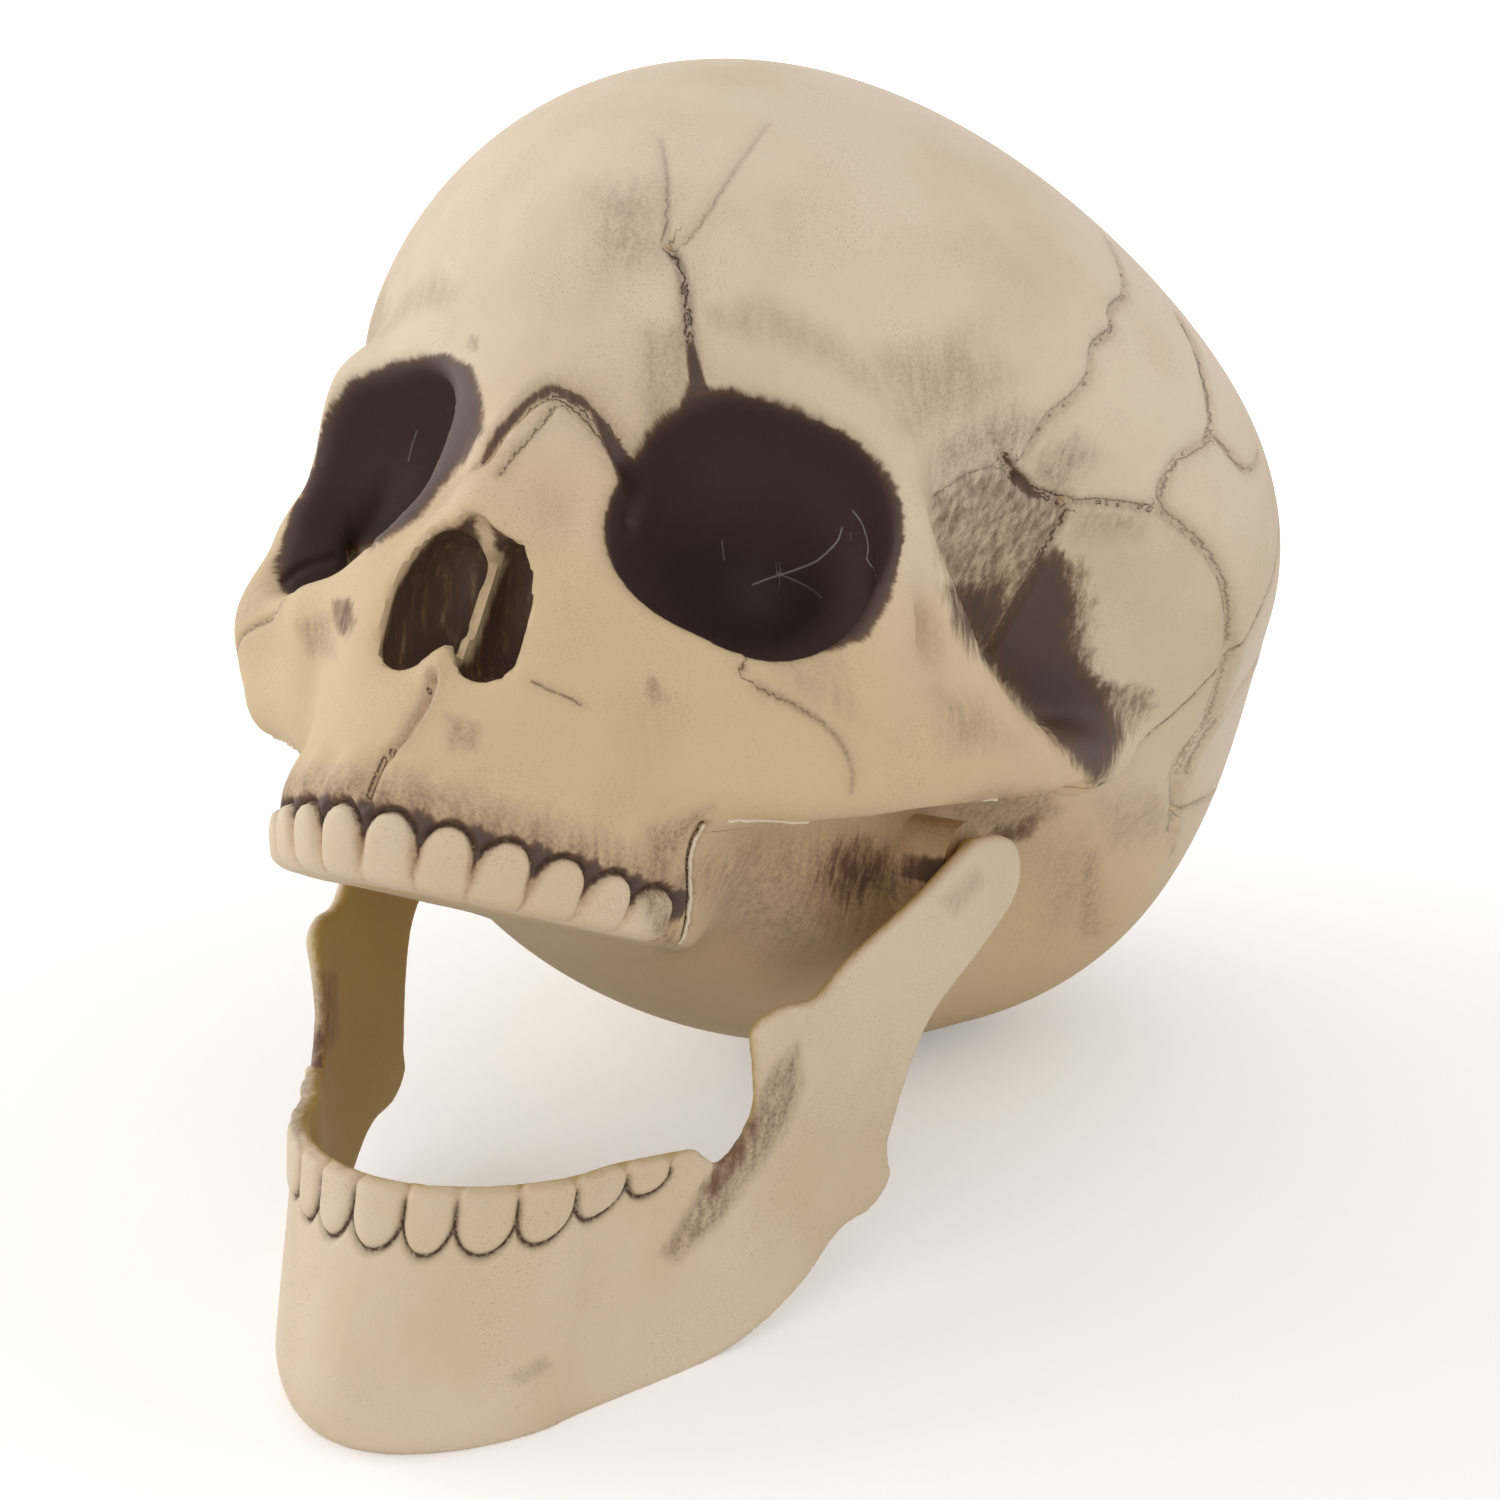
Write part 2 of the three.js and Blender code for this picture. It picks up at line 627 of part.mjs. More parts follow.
function makePin(side) {
  const head = hingeRod(pinHeadRadius, side * (pinHeadFace - pinHeadThickness), side * pinHeadFace);
  const tip = socketEnd - pinClearance;
  return head.add(hingeRod(pinRadius, side * (pinHeadFace - pinHeadThickness / 2), side * tip, 16));
}

function makeWasher(side) {
  const disc = hingeRod(washerRadius, side * (washerFace - washerThickness), side * washerFace, 28);
  return disc.subtract(hingeRod(pinRadius + pinClearance, side * bayEnd, side * earFace, 16));
}

const faceShell = makeFaceShell();
const backShell = makeBackShell();
const jaw = makeJaw();

// Lean back until the chin and the occiput rest on one level
function lowest(body, tilt) {
  const { vertProperties } = body.getMesh();
  let low = Infinity;
  for (let i = 0; i < vertProperties.length; i += 3) {
    low = Math.min(low, vertProperties[i + 2] * Math.cos(tilt) - vertProperties[i + 1] * Math.sin(tilt));
  }
  return low;
}

function standingTilt() {
  let small = 10 * degrees;
  let large = 70 * degrees;
  for (let i = 0; i < 40; i += 1) {
    const middle = (small + large) / 2;
    if (lowest(jaw, middle) < lowest(backShell, middle)) small = middle;
    else large = middle;
  }
  return (small + large) / 2;
}

const tilt = standingTilt();
const floorLevel = lowest(jaw, tilt) + footTrim;

// Flat feet under the chin and the occiput
function belowFloor() {
  const depth = 60;
  const geometry = new THREE.BoxGeometry(barWidth, 2 * barWidth, depth);
  geometry.translate(0, 0, floorLevel - depth / 2);
  geometry.rotateX(tilt);
  return solid(geometry);
}

const floor = belowFloor();

function material(color, roughness) {
  return new THREE.MeshStandardMaterial({ color, roughness, metalness: 0 });
}

const bone = material(0xcdbfa2, 0.6);
const unpainted = material(0xb3a57c, 0.55);
const nylon = material(0xe6e2d8, 0.45);

function piece(name, body, finish) {
  const mesh = new THREE.Mesh(geometryOf(body), finish);
  mesh.name = name;
  return mesh;
}

const skull = new THREE.Group();
skull.add(piece('face_shell', faceShell, bone));
skull.add(piece('back_shell', backShell.subtract(floor), bone));
skull.add(piece('jaw', jaw.subtract(floor), bone));
for (const [label, side] of [['left', 1], ['right', -1]]) {
  skull.add(piece(`pivot_pin_${label}`, makePin(side), nylon));
  skull.add(piece(`slot_washer_${label}`, makeWasher(side), unpainted));
}
skull.rotation.x = -tilt;

const standing = new THREE.Group();
standing.add(skull);
const box = new THREE.Box3().setFromObject(standing, true);
skull.position.set(0, -(box.min.y + box.max.y) / 2, -floorLevel);

export default standing;
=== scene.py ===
import json
import math

import bmesh
import bpy
import numpy as np
from mathutils import Matrix, Vector
from mathutils.bvhtree import BVHTree


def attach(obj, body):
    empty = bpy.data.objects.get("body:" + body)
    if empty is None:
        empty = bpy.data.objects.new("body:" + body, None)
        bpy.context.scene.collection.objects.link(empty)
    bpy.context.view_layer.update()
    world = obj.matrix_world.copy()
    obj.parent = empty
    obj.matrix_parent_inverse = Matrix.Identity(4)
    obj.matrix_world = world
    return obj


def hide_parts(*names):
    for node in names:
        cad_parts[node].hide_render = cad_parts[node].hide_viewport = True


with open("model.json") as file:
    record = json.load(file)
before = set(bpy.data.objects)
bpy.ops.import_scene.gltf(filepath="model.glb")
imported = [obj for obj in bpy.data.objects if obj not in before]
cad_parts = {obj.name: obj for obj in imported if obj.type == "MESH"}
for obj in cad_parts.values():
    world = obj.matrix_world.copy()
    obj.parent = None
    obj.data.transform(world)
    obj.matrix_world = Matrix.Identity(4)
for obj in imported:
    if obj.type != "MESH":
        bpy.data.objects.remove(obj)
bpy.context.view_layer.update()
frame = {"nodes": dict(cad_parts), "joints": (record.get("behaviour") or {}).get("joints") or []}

# The skull is drawn level in millimetres: ear line at y = 0, z = 0, face towards -Y, its left side +X
stand = {"lean": 37.045903, "hinge": (0, -4.5, -15), "jawOpen": 24}
hingeWorld = np.array(frame["joints"][0]["pos_m"])


def turnX(points, degrees):
    c, s = math.cos(math.radians(degrees)), math.sin(math.radians(degrees))
    return points @ np.array([[1, 0, 0], [0, c, s], [0, -s, c]])


def toWorld(points):
    return turnX(np.asarray(points, float) - stand["hinge"], -stand["lean"]) / 1000 + hingeWorld


def fromWorld(points):
    return turnX((np.asarray(points, float) - hingeWorld) * 1000, stand["lean"]) + stand["hinge"]


def fromJaw(points):
    return turnX(np.asarray(points, float), stand["jawOpen"]) + stand["hinge"]


# Camera as measured on the photograph, in the level skull frame and in pixels of its 1500 px square
photoView = {"azimuth": 26.35, "elevation": -14.37, "roll": 15.77, "aim": (3.0, 1.4), "distance": 511.1,
             "lens": 72, "sensor": 36, "pixels": 1500}
photoHalf = photoView["pixels"] / 2
photoScale = photoView["lens"] / photoView["sensor"] * photoView["pixels"]


def viewAxes():
    a, e, r = (math.radians(photoView[k]) for k in ("azimuth", "elevation", "roll"))
    right = np.array([math.cos(a), math.sin(a), 0])
    back = np.array([math.sin(a) * math.cos(e), -math.cos(a) * math.cos(e), math.sin(e)])
    up = np.cross(back, right)
    return np.array([math.cos(r) * right + math.sin(r) * up, math.cos(r) * up - math.sin(r) * right, back])


axes = viewAxes()
eye = np.array([*photoView["aim"], photoView["distance"]]) @ axes


def pixelRay(px, py):
    ray = np.array([(px - photoHalf) / photoScale, (photoHalf - py) / photoScale, -1]) @ axes
    return ray / np.linalg.norm(ray)


camera = bpy.data.objects.new("camera", bpy.data.cameras.new("camera"))
camera.data.lens = photoView["lens"]
camera.data.sensor_width = photoView["sensor"]
camera.data.clip_start, camera.data.clip_end = 0.01, 20
spun = turnX(axes, -stand["lean"])
camera.matrix_world = Matrix([[*spun[:, i], toWorld(eye)[i]] for i in range(3)] + [[0, 0, 0, 1]])
bpy.context.scene.collection.objects.link(camera)
bpy.context.scene.camera = camera
print("camera set")


# Fields: negative inside
def ball(p, centre, radii):
    q = (p - np.array(centre, float)) / np.array(radii, float)
    near = np.sqrt((q * q).sum(1))
    slope = np.sqrt(((q / np.array(radii, float)) ** 2).sum(1)) + 1e-9
    return near * (near - 1) / slope


def rod(p, points):
    best = np.full(len(p), 1e9)
    for a, b in zip(points[:-1], points[1:]):
        start, along = np.array(a[:3], float), np.subtract(b[:3], a[:3]).astype(float)
        t = np.clip((p - start) @ along / (along @ along), 0, 1)
        gap = np.sqrt((((p - start) - t[:, None] * along) ** 2).sum(1))
        best = np.minimum(best, gap - (a[3] + (b[3] - a[3]) * t))
    return best


def join(a, b, blend):
    h = np.maximum(blend - np.abs(a - b), 0) / blend
    return np.minimum(a, b) - h * h * blend / 4


def carve(a, b, blend):
    return -join(-a, b, blend)


# A ball with fuller corners
def lump(p, radii, power=2.5):
    near = (np.abs(p / np.array(radii, float)) ** power).sum(1) ** (1 / power)
    return (near - 1) * min(radii)


def sideOf(p, start, end):
    dy, dz = end[0] - start[0], end[1] - start[1]
    return (dy * (p[:, 2] - start[1]) - dz * (p[:, 1] - start[0])) / math.hypot(dy, dz)


def smooth(x, low, high):
    t = np.clip((x - low) / (high - low), 0, 1)
    return t * t * (3 - 2 * t)


cranium = {
    "vault": ((0, 6, 51), (80.5, 84.5, 55.5)),
    "masses": [((0, -26, 50), (53, 68.5, 52.5), 26), ((0, 57, 26), (63, 46.5, 57), 22),
               ((0, -2, -20.5), (42, 62, 24.5), 18)],
    "temple": ((88, -40, 8), (36, 36, 36), 18),
}
face = {
    "midface": ((0, -54, -2), (38, 36, 42)),
    "alveolus": ((0, -68, -42), (29, 36, 22)),
    "upperMaxilla": ((0, -62, -24), (28, 34, 27)),
    "brow": [(8, -82, 27, 7), (22, -79, 32, 7), (40, -70, 29, 7)],
    "cheekUpper": [(41, -71, 29, 6.5), (47, -64, 20, 5.5), (51, -55, 13, 5), (56, -38, 0, 6),
                   (58.5, -20, -0.5, 6.5), (60, -4, 7, 6), (59, 8, 14, 7)],
    "outerRim": [(44, -69, 20, 6), (49, -66, 5, 6), (47, -67, -8, 7)],
    "cheekLower": [(32, -72, -21, 8), (43, -66, -19, 8), (50, -58, -15, 7), (55, -45, -9, 6), (59, -26, -1, 4)],
    "cheekBody": [(44, -66, -8, 8), (51, -56, -4, 7), (56, -40, -3, 6)],
    "cheekWeb": [(41, -50, -6, 8), (42, -34, -4, 8), (49, -14, 2, 8)],
    "socketBack": [(37, -50, 22, 6), (38, -51, 8, 8), (38, -50, -4, 8)],
    "lowerRim": [(16, -86, -7, 7), (30, -80, -9, 8), (43, -69, -8, 7)],
    "bridge": [(0, -86, 25, 6), (0, -91, 14, 6.5), (0, -94.5, 5, 4.8)],
    "noseSide": [(9, -83, 22, 7), (13, -85, 2, 8), (14, -84, -22, 9)],
    "socket": ((33, -80, 11.5), (19.5, 22, 18.5)), "socketTurn": 22, "socketDroop": 12,
    "socketDeep": ((25, -66, 11), (12, 17, 11)),
    "noseRim": [(0, -95, 4, 4.6), (5.5, -94.3, -1, 3.8), (9.8, -91.6, -9, 4), (12.8, -89.3, -17, 4.2),
                (10, -88.5, -25, 5)],
    "spine": [(0, -86, -24, 5), (0, -94.6, -20.5, 1.8)],
    "noseHole": [(0, -98, -0.5, 2.6), (3.2, -97, -5, 4.6), (5, -94.5, -11, 5.6), (6.3, -92.5, -17.5, 5.3)],
    "noseDeep": ((5.6, -90, -9.5), (6.2, 8, 11.5)),
    "septum": [(-24, -97), (-19, -95), (-17, -92), (-13, -91.5), (-7.3, -91.5), (-3, -91), (0.8, -92.5)],
    "septumHalf": 0.8,
    "recess": ((64, -34, -38), (30, 54, 50)),
    "blends": {"cheekWeb": 6, "socketBack": 6, "lowerRim": 9, "bridge": 6, "noseSide": 8, "noseRim": 5, "spine": 4},
}
# Rounding where shapes meet
rounding = {"maxilla": 12, "core": 14, "rims": 6, "plate": 8, "brow": 14, "cheek": 8, "cheekFace": 10, "bite": 2,
            "socketDeep": 6, "noseDeep": 4, "septum": 0.8, "skull": 6, "socket": 4, "nose": 1.6, "recess": 2}
shellWall = {"thin": 2.2, "frontMore": 1.8, "frontFrom": -25, "frontRun": 25}
seam = {"biteFront": (-104, -53.9), "biteRear": (-54, -45.2), "cheekCorner": (-71, -30), "archEnd": (-1, 6),
        "crown": [(15, 11), (12, 30), (15, 50), (17, 120)], "setBack": 2.2, "setDown": 0.6, "gap": 0.1}


def mirrored(p):
    return np.abs(p) * (1, 0, 0) + p * (0, 1, 1)


def craniumField(p):
    d = ball(p, *cranium["vault"])
    for centre, radii, blend in cranium["masses"]:
        d = join(d, ball(p, centre, radii), blend)
    centre, radii, blend = cranium["temple"]
    return carve(d, ball(p, centre, radii), blend)


def coreField(p):
    maxilla = join(ball(p, *face["alveolus"]), ball(p, *face["upperMaxilla"]), rounding["maxilla"])
    return join(ball(p, *face["midface"]), maxilla, rounding["core"])


def faceField(p):
    edges = join(rod(p, face["cheekUpper"]), rod(p, face["outerRim"]), rounding["rims"])
    plate = join(rod(p, face["cheekLower"]), rod(p, face["cheekBody"]), rounding["plate"])
    d = join(coreField(p), rod(p, face["brow"]), rounding["brow"])
    d = join(d, join(edges, plate, rounding["cheek"]), rounding["cheekFace"])
    for key, blend in face["blends"].items():
        d = join(d, rod(p, face[key]), blend)
    return carve(d, sideOf(p, seam["biteFront"], seam["biteRear"]), rounding["bite"])


def socketSpot(p):
    turn = Matrix.Rotation(math.radians(face["socketTurn"]), 3, "Z")
    turn = turn @ Matrix.Rotation(math.radians(face["socketDroop"]), 3, "Y")
    return (p - face["socket"][0]) @ np.array(turn)


def socketField(p):
    return join(lump(socketSpot(p), face["socket"][1]), ball(p, *face["socketDeep"]), rounding["socketDeep"])


def noseField(p):
    hole = join(rod(p, face["noseHole"]), ball(p, *face["noseDeep"]), rounding["noseDeep"])
    edge = np.interp(p[:, 2], *np.transpose(face["septum"]))
    return carve(hole, np.maximum(p[:, 0] - face["septumHalf"], edge - p[:, 1]), rounding["septum"])


def recessField(p):
    under = sideOf(p, seam["cheekCorner"], seam["archEnd"])
    behind = sideOf(p, seam["biteRear"], seam["cheekCorner"])
    return np.maximum(np.maximum(ball(p, *face["recess"]), under), behind)


def wholeField(p):
    return join(craniumField(p), faceField(p), rounding["skull"])


def skinField(points):
    p = mirrored(points)
    d = carve(wholeField(p), socketField(p), rounding["socket"])
    return carve(carve(d, noseField(p), rounding["nose"]), recessField(p), rounding["recess"])


def hollowField(points):
    p = mirrored(points)
    core = join(craniumField(p), coreField(p), rounding["skull"])
    share = np.clip((shellWall["frontFrom"] - p[:, 1]) / shellWall["frontRun"], 0, 1)
    return np.maximum(core, skinField(p)) + shellWall["thin"] + shellWall["frontMore"] * share


def inChunks(field, p, size=200000):
    return np.concatenate([field(p[i:i + size]) for i in range(0, len(p), size)])


cellCorners = np.array([(c & 1, c >> 1 & 1, c >> 2) for c in range(8)])
cellEdges = [(a, a | bit) for a in range(8) for bit in (1, 2, 4) if not a & bit]


# Closed surface of a field: one point in each cell that it crosses, slid onto the surface
def surfaceNet(field, low, high, step, block=4):
    low = np.array(low, float)
    blocks = np.ceil((np.array(high) - low) / (step * block)).astype(int)
    size = blocks * block + 1
    spots = np.stack(np.meshgrid(*[np.arange(n) for n in blocks], indexing="ij"), -1).reshape(-1, 3)
    middle = inChunks(field, low + (spots + 0.5) * step * block)
    values = np.repeat(np.repeat(np.repeat(np.sign(middle).reshape(blocks), block, 0), block, 1), block, 2)
    values = np.pad(values, ((0, 1),) * 3, mode="edge").astype(np.float32) * 1e3
    near = np.zeros(size, bool)
    for i, j, k in spots[np.abs(middle) < step * block * 1.5] * block:
        near[i:i + block + 1, j:j + block + 1, k:k + block + 1] = True
    where = np.argwhere(near)
    values[near] = inChunks(field, low + where * step)
    inside = values < 0
    count = sum(inside[a:size[0] - 1 + a, b:size[1] - 1 + b, c:size[2] - 1 + c].astype(np.int8)
                for a, b, c in cellCorners)
    cells = np.argwhere((count > 0) & (count < 8))
    corner = np.stack([values[tuple((cells + c).T)] for c in cellCorners], 1).astype(float)
    total, hits = np.zeros((len(cells), 3)), np.zeros(len(cells))
    for a, b in cellEdges:
        crossed = (corner[:, a] < 0) != (corner[:, b] < 0)
        t = np.where(crossed, corner[:, a] / np.where(crossed, corner[:, a] - corner[:, b], 1), 0)
        total += crossed[:, None] * (cellCorners[a] + t[:, None] * (cellCorners[b] - cellCorners[a]))
        hits += crossed
    points = low + (cells + total / hits[:, None]) * step
    points = slideOnto(field, points, step)
    number = np.full(size - 1, -1, int)
    number[tuple(cells.T)] = np.arange(len(cells))
    quads = []
    for axis in range(3):
        one, two = (axis + 1) % 3, (axis + 2) % 3
        ahead = np.eye(3, dtype=int)
        first = np.take(inside, range(size[axis] - 1), axis)
        second = np.take(inside, range(1, size[axis]), axis)
        spot = np.argwhere(first != second)
        rising = first[tuple(spot.T)]
        around = [m * ahead[one] + n * ahead[two] for m, n in ((1, 1), (0, 1), (0, 0), (1, 0))]
        ring = np.stack([number[tuple((spot - off).T)] for off in around], 1)
        quads.append(np.where(rising[:, None], ring, ring[:, ::-1]))
    return points, np.concatenate(quads)


def slideOnto(field, points, step, passes=3):
    for _ in range(passes):
        here = inChunks(field, points)
        slope = np.stack([inChunks(field, points + d) - here for d in np.eye(3) * 0.1], 1) / 0.1
        move = np.clip(here / np.maximum((slope * slope).sum(1), 0.05), -step, step)
        points = points - move[:, None] * slope
    return points


def meshFrom(name, points, faces, edges=()):
    mesh = bpy.data.meshes.new(name)
    mesh.from_pydata(points.tolist(), edges, faces.tolist() if hasattr(faces, "tolist") else faces)
    mesh.update()
    made = bpy.data.objects.new(name, mesh)
    bpy.context.scene.collection.objects.link(made)
    return made


def pointsOf(mesh):
    flat = np.empty(len(mesh.vertices) * 3, np.float32)
    mesh.vertices.foreach_get("co", flat)
    return flat.reshape(-1, 3).astype(float)


# A plain mesh of what the modifiers make, which are then removed
def settle(made):
    done = bpy.data.meshes.new_from_object(made.evaluated_get(bpy.context.evaluated_depsgraph_get()))
    made.modifiers.clear()
    old, made.data = made.data, done
    bpy.data.meshes.remove(old)


def combine(target, tool, how):
    step = target.modifiers.new("cut", "BOOLEAN")
    step.operation, step.solver, step.object = how, "MANIFOLD", tool
    settle(target)


def drop(*objects):
    for o in objects:
        bpy.data.meshes.remove(o.data)


# A closed side-view outline, as (y, z), made into a bar across the whole width
def acrossWidth(name, outline, half=130):
    n = len(outline)
    points = np.array([(x, y, z) for x in (-half, half) for y, z in outline], float)
    sides = [(i, (i + 1) % n, n + (i + 1) % n, n + i) for i in range(n)]
    made = meshFrom(name, points, [*sides, tuple(range(n))[::-1], tuple(range(n, 2 * n))])
    tidy = bmesh.new()
    tidy.from_mesh(made.data)
    bmesh.ops.recalc_face_normals(tidy, faces=tidy.faces)
    bmesh.ops.triangulate(tidy, faces=tidy.faces)
    tidy.to_mesh(made.data)
    tidy.free()
    return made


def behindSeam(name, gap):
    back, down = seam["setBack"] + gap, seam["setDown"] + gap / 2
    path = [(seam["biteRear"][0], -160), seam["biteRear"], seam["cheekCorner"], seam["archEnd"], *seam["crown"]]
    path = [(y + back, z - down) for y, z in path]
    return acrossWidth(name, [*path, (160, seam["crown"][-1][1]), (160, -160)])


# A round bar along X on the hinge axis
def hingeBar(name, radius, start, end, sides=48):
    turn = np.arange(sides) * 2 * math.pi / sides
    ring = np.stack([np.cos(turn) * radius + stand["hinge"][1], np.sin(turn) * radius + stand["hinge"][2]], 1)
    points = np.array([(x, y, z) for x in (start, end) for y, z in ring])
    rim = [(i, (i + 1) % sides, sides + (i + 1) % sides, sides + i) for i in range(sides)]
    made = meshFrom(name, points, [*rim, tuple(range(sides))[::-1], tuple(range(sides, 2 * sides))])
    if start > end:
        made.data.flip_normals()
    return made


# What lies below the floor
def slab(name):
    low, high = (-0.3, -0.3, -0.05), (0.3, 0.3, 0)
    points = fromWorld([[(low, high)[c >> k & 1][k] for k in range(3)] for c in range(8)])
    sides = [(0, 2, 3, 1), (4, 5, 7, 6), (0, 1, 5, 4), (2, 6, 7, 3), (0, 4, 6, 2), (1, 3, 7, 5)]
    return meshFrom(name, points, sides)


# Jaw: a wall that follows its outline seen from above, trimmed to its side view. Origin on the hinge, mouth shut
jaw = {
    "wall": 2.5, "chinBulge": 4, "chinHeight": -68, "chinSpread": 15, "rolled": 5, "rolledFrom": -71,
    "plans": [(-81, 27.5, 34, -61, [(43, -30), (46.5, -17), (52, 16)]),
              (-41, 28.5, 30.5, -61.5, [(39.5, -50), (46.5, -17), (53, 16)]),
              (0, 40, 35, -66, [(45.5, -45), (51, -19), (54, 16)])],
    "lower": [(-95, -81), (-84, -78.6), (-71, -75.6), (-62, -73.5), (-52, -71), (-44, -67.3),
              (-35.5, -60.5), (-27.5, -53.7), (-19, -51.5)],
    "rear": [(-14.5, -47), (-16, -41), (-14, -28), (-10, -20), (0, -12.5), (10, -5)],
    "top": [(12, 1), (8, 6), (-2, 7.5), (-11, 5), (-34, -7.5), (-42, -14), (-50, -15), (-54.5, -18)],
    "front": [(-52.5, -24.4), (-51, -31.4), (-55, -38.5), (-60, -36)],
    "bite": (-92, -41),
}


def spline(points, count):
    points = np.array(points, float)
    t = np.linspace(0, len(points) - 1, count)
    i = np.minimum(t.astype(int), len(points) - 2)
    w = (t - i)[:, None]
    a, b, c, d = (points[np.clip(i + k, 0, len(points) - 1)] for k in (-1, 0, 1, 2))
    return b + w * (c - a) / 2 + w ** 2 * (a - 2.5 * b + 2 * c - d / 2) + w ** 3 * (1.5 * (b - c) + (d - a) / 2)


def planCurve(half, depth, turn, back, count=160):
    arc = [(half * math.sin(a), turn - depth * math.cos(a)) for a in np.radians(range(0, 76, 15))]
    return spline([*arc, *back], count)


def jawOutline(z):
    heights = [plan[0] for plan in jaw["plans"]]
    curves = np.array([planCurve(*plan[1:]) for plan in jaw["plans"]])
    share = np.interp(z, heights, range(len(heights)))
    low = min(int(share), len(heights) - 2)
    curve = curves[low] + (curves[low + 1] - curves[low]) * (share - low)
    bulge = np.exp(-((z - jaw["chinHeight"]) / jaw["chinSpread"]) ** 2 - (curve[:, 0] / jaw["chinSpread"]) ** 2)
    curve[:, 1] -= jaw["chinBulge"] * bulge
    return curve


# Signed distance from a line of points, positive on its right, and the length along it
def besideCurve(spots, curve):
    step = np.diff(curve, axis=0)
    length = np.hypot(*step.T)
    run = np.concatenate([[0], np.cumsum(length)])
    best, side, along = np.full(len(spots), 1e9), np.ones(len(spots)), np.zeros(len(spots))
    for k, (a, d) in enumerate(zip(curve[:-1], step)):
        t = (spots - a) @ d / (d @ d)
        clipped = np.clip(t, 0 if k else -1e3, 1 if k < len(step) - 1 else 1e3)
        off = spots - a - clipped[:, None] * d
        gap = np.hypot(*off.T)
        closer = gap < best
        best = np.where(closer, gap, best)
        side = np.where(closer, np.where(d[1] * off[:, 0] - d[0] * off[:, 1] >= 0, 1, -1), side)
        along = np.where(closer, run[k] + clipped * length[k], along)
    return best * side, along


def lookUp(table, low, step, spots):
    place = np.clip((spots - low) / step, 0, np.array(table.shape[:spots.shape[1]]) - 1.001)
    base = place.astype(int)
    part = place - base
    total = 0
    for c in range(2 ** spots.shape[1]):
        corner = np.array([c >> k & 1 for k in range(spots.shape[1])])
        weight = np.prod(np.where(corner, part, 1 - part), 1)
        total = total + weight * table[tuple((base + corner).T)]
    return total


planLow, planHigh, planStep = (0, -114, -95), (66, 24, 16), (1, 1, 5)
planAxes = [np.arange(*run, dtype=float) for run in zip(planLow, planHigh, planStep)]
planSpots = np.stack(np.meshgrid(*planAxes[:2], indexing="ij"), -1).reshape(-1, 2)
planTable = [besideCurve(planSpots, jawOutline(z)) for z in planAxes[2]]
wallTable, alongTable = (np.stack([t[k].reshape(len(planAxes[0]), -1) for t in planTable], 2) for k in (0, 1))


def jawSide():
    bend = spline([*jaw["lower"], *jaw["rear"], *jaw["top"], *jaw["front"]], 260)
    return [(-160, jaw["lower"][0][1]), *bend.tolist(), jaw["bite"], (-160, jaw["bite"][1])]


def insideOutline(spots, outline):
    inside = np.zeros(len(spots), bool)
    for a, b in zip(outline, np.roll(outline, -1, 0)):
        across = (a[1] > spots[:, 1]) != (b[1] > spots[:, 1])
        rise = b[1] - a[1] if b[1] != a[1] else 1e-9
        inside ^= across & (spots[:, 0] < (b[0] - a[0]) * (spots[:, 1] - a[1]) / rise + a[0])
    return inside


sideLow, sideHigh, sideStep = (-120, -96), (24, 18), 0.5
sideAxes = [np.arange(a, b, sideStep) for a, b in zip(sideLow, sideHigh)]
sideSpots = np.stack(np.meshgrid(*sideAxes, indexing="ij"), -1).reshape(-1, 2)
sideLine = np.array(jawSide())
sideGap = np.abs(besideCurve(sideSpots, np.vstack([sideLine, sideLine[:1]]))[0])
sideTable = np.where(insideOutline(sideSpots, sideLine), -sideGap, sideGap).reshape(len(sideAxes[0]), -1)


def jawOff(p):
    q = np.stack([np.abs(p[:, 0]), p[:, 1], p[:, 2]], 1)
    return lookUp(wallTable, planLow, planStep, q), lookUp(alongTable, planLow, planStep, q)


# Depth below the jaw's outer face, which rolls inwards at the lower border
def jawDepth(p):
    return jawOff(p)[0] + jaw["rolled"] * (np.maximum(jaw["rolledFrom"] - p[:, 2], 0) / 12) ** 2


def jawField(p):
    wall = np.abs(jawDepth(p) + jaw["wall"] / 2) - jaw["wall"] / 2
    side = lookUp(sideTable, sideLow, sideStep, p[:, 1:])
    return -join(-wall, -side, 1.4)


level = jawOutline(0)
atHinge = np.interp(0, level[80:, 1], level[80:, 0])
hinge = {"earStand": 2.2, "earRadius": 6.5, "earInWall": 1.25, "pin": 2.7, "pinInWall": 1, "gap": 0.4,
         "bossRadius": 9, "bossDepth": 12, "clear": 17, "bayRadius": 9, "bayDepth": 4.8}
hinge["ear"] = atHinge - jaw["wall"] - hinge["earStand"]
hinge["bossFace"] = hinge["ear"] - hinge["gap"]
hinge["bossEnd"] = hinge["bossFace"] - hinge["bossDepth"]
hinge["bayEnd"] = hinge["bossEnd"] - hinge["bayDepth"]


# Places named by pixels of the photograph, found where their rays meet a surface
def treeOf(made):
    return BVHTree.FromPolygons(pointsOf(made.data).tolist(), [tuple(f.vertices) for f in made.data.polygons])


def castOn(tree, pixels):
    hits = [tree.ray_cast(Vector(eye), Vector(pixelRay(x, y)))[0] for x, y in pixels]
    return np.array([h for h in hits if h is not None])


def pixelsOf(points):
    q = points @ axes.T - (*photoView["aim"], photoView["distance"])
    return np.stack([photoHalf - photoScale * q[:, 0] / q[:, 2], photoHalf + photoScale * q[:, 1] / q[:, 2]], 1)


def normalsOf(field, points):
    here = inChunks(field, points)
    slope = np.stack([inChunks(field, points + d) - here for d in np.eye(3) * 0.2], 1)
    return slope / np.linalg.norm(slope, axis=1)[:, None]


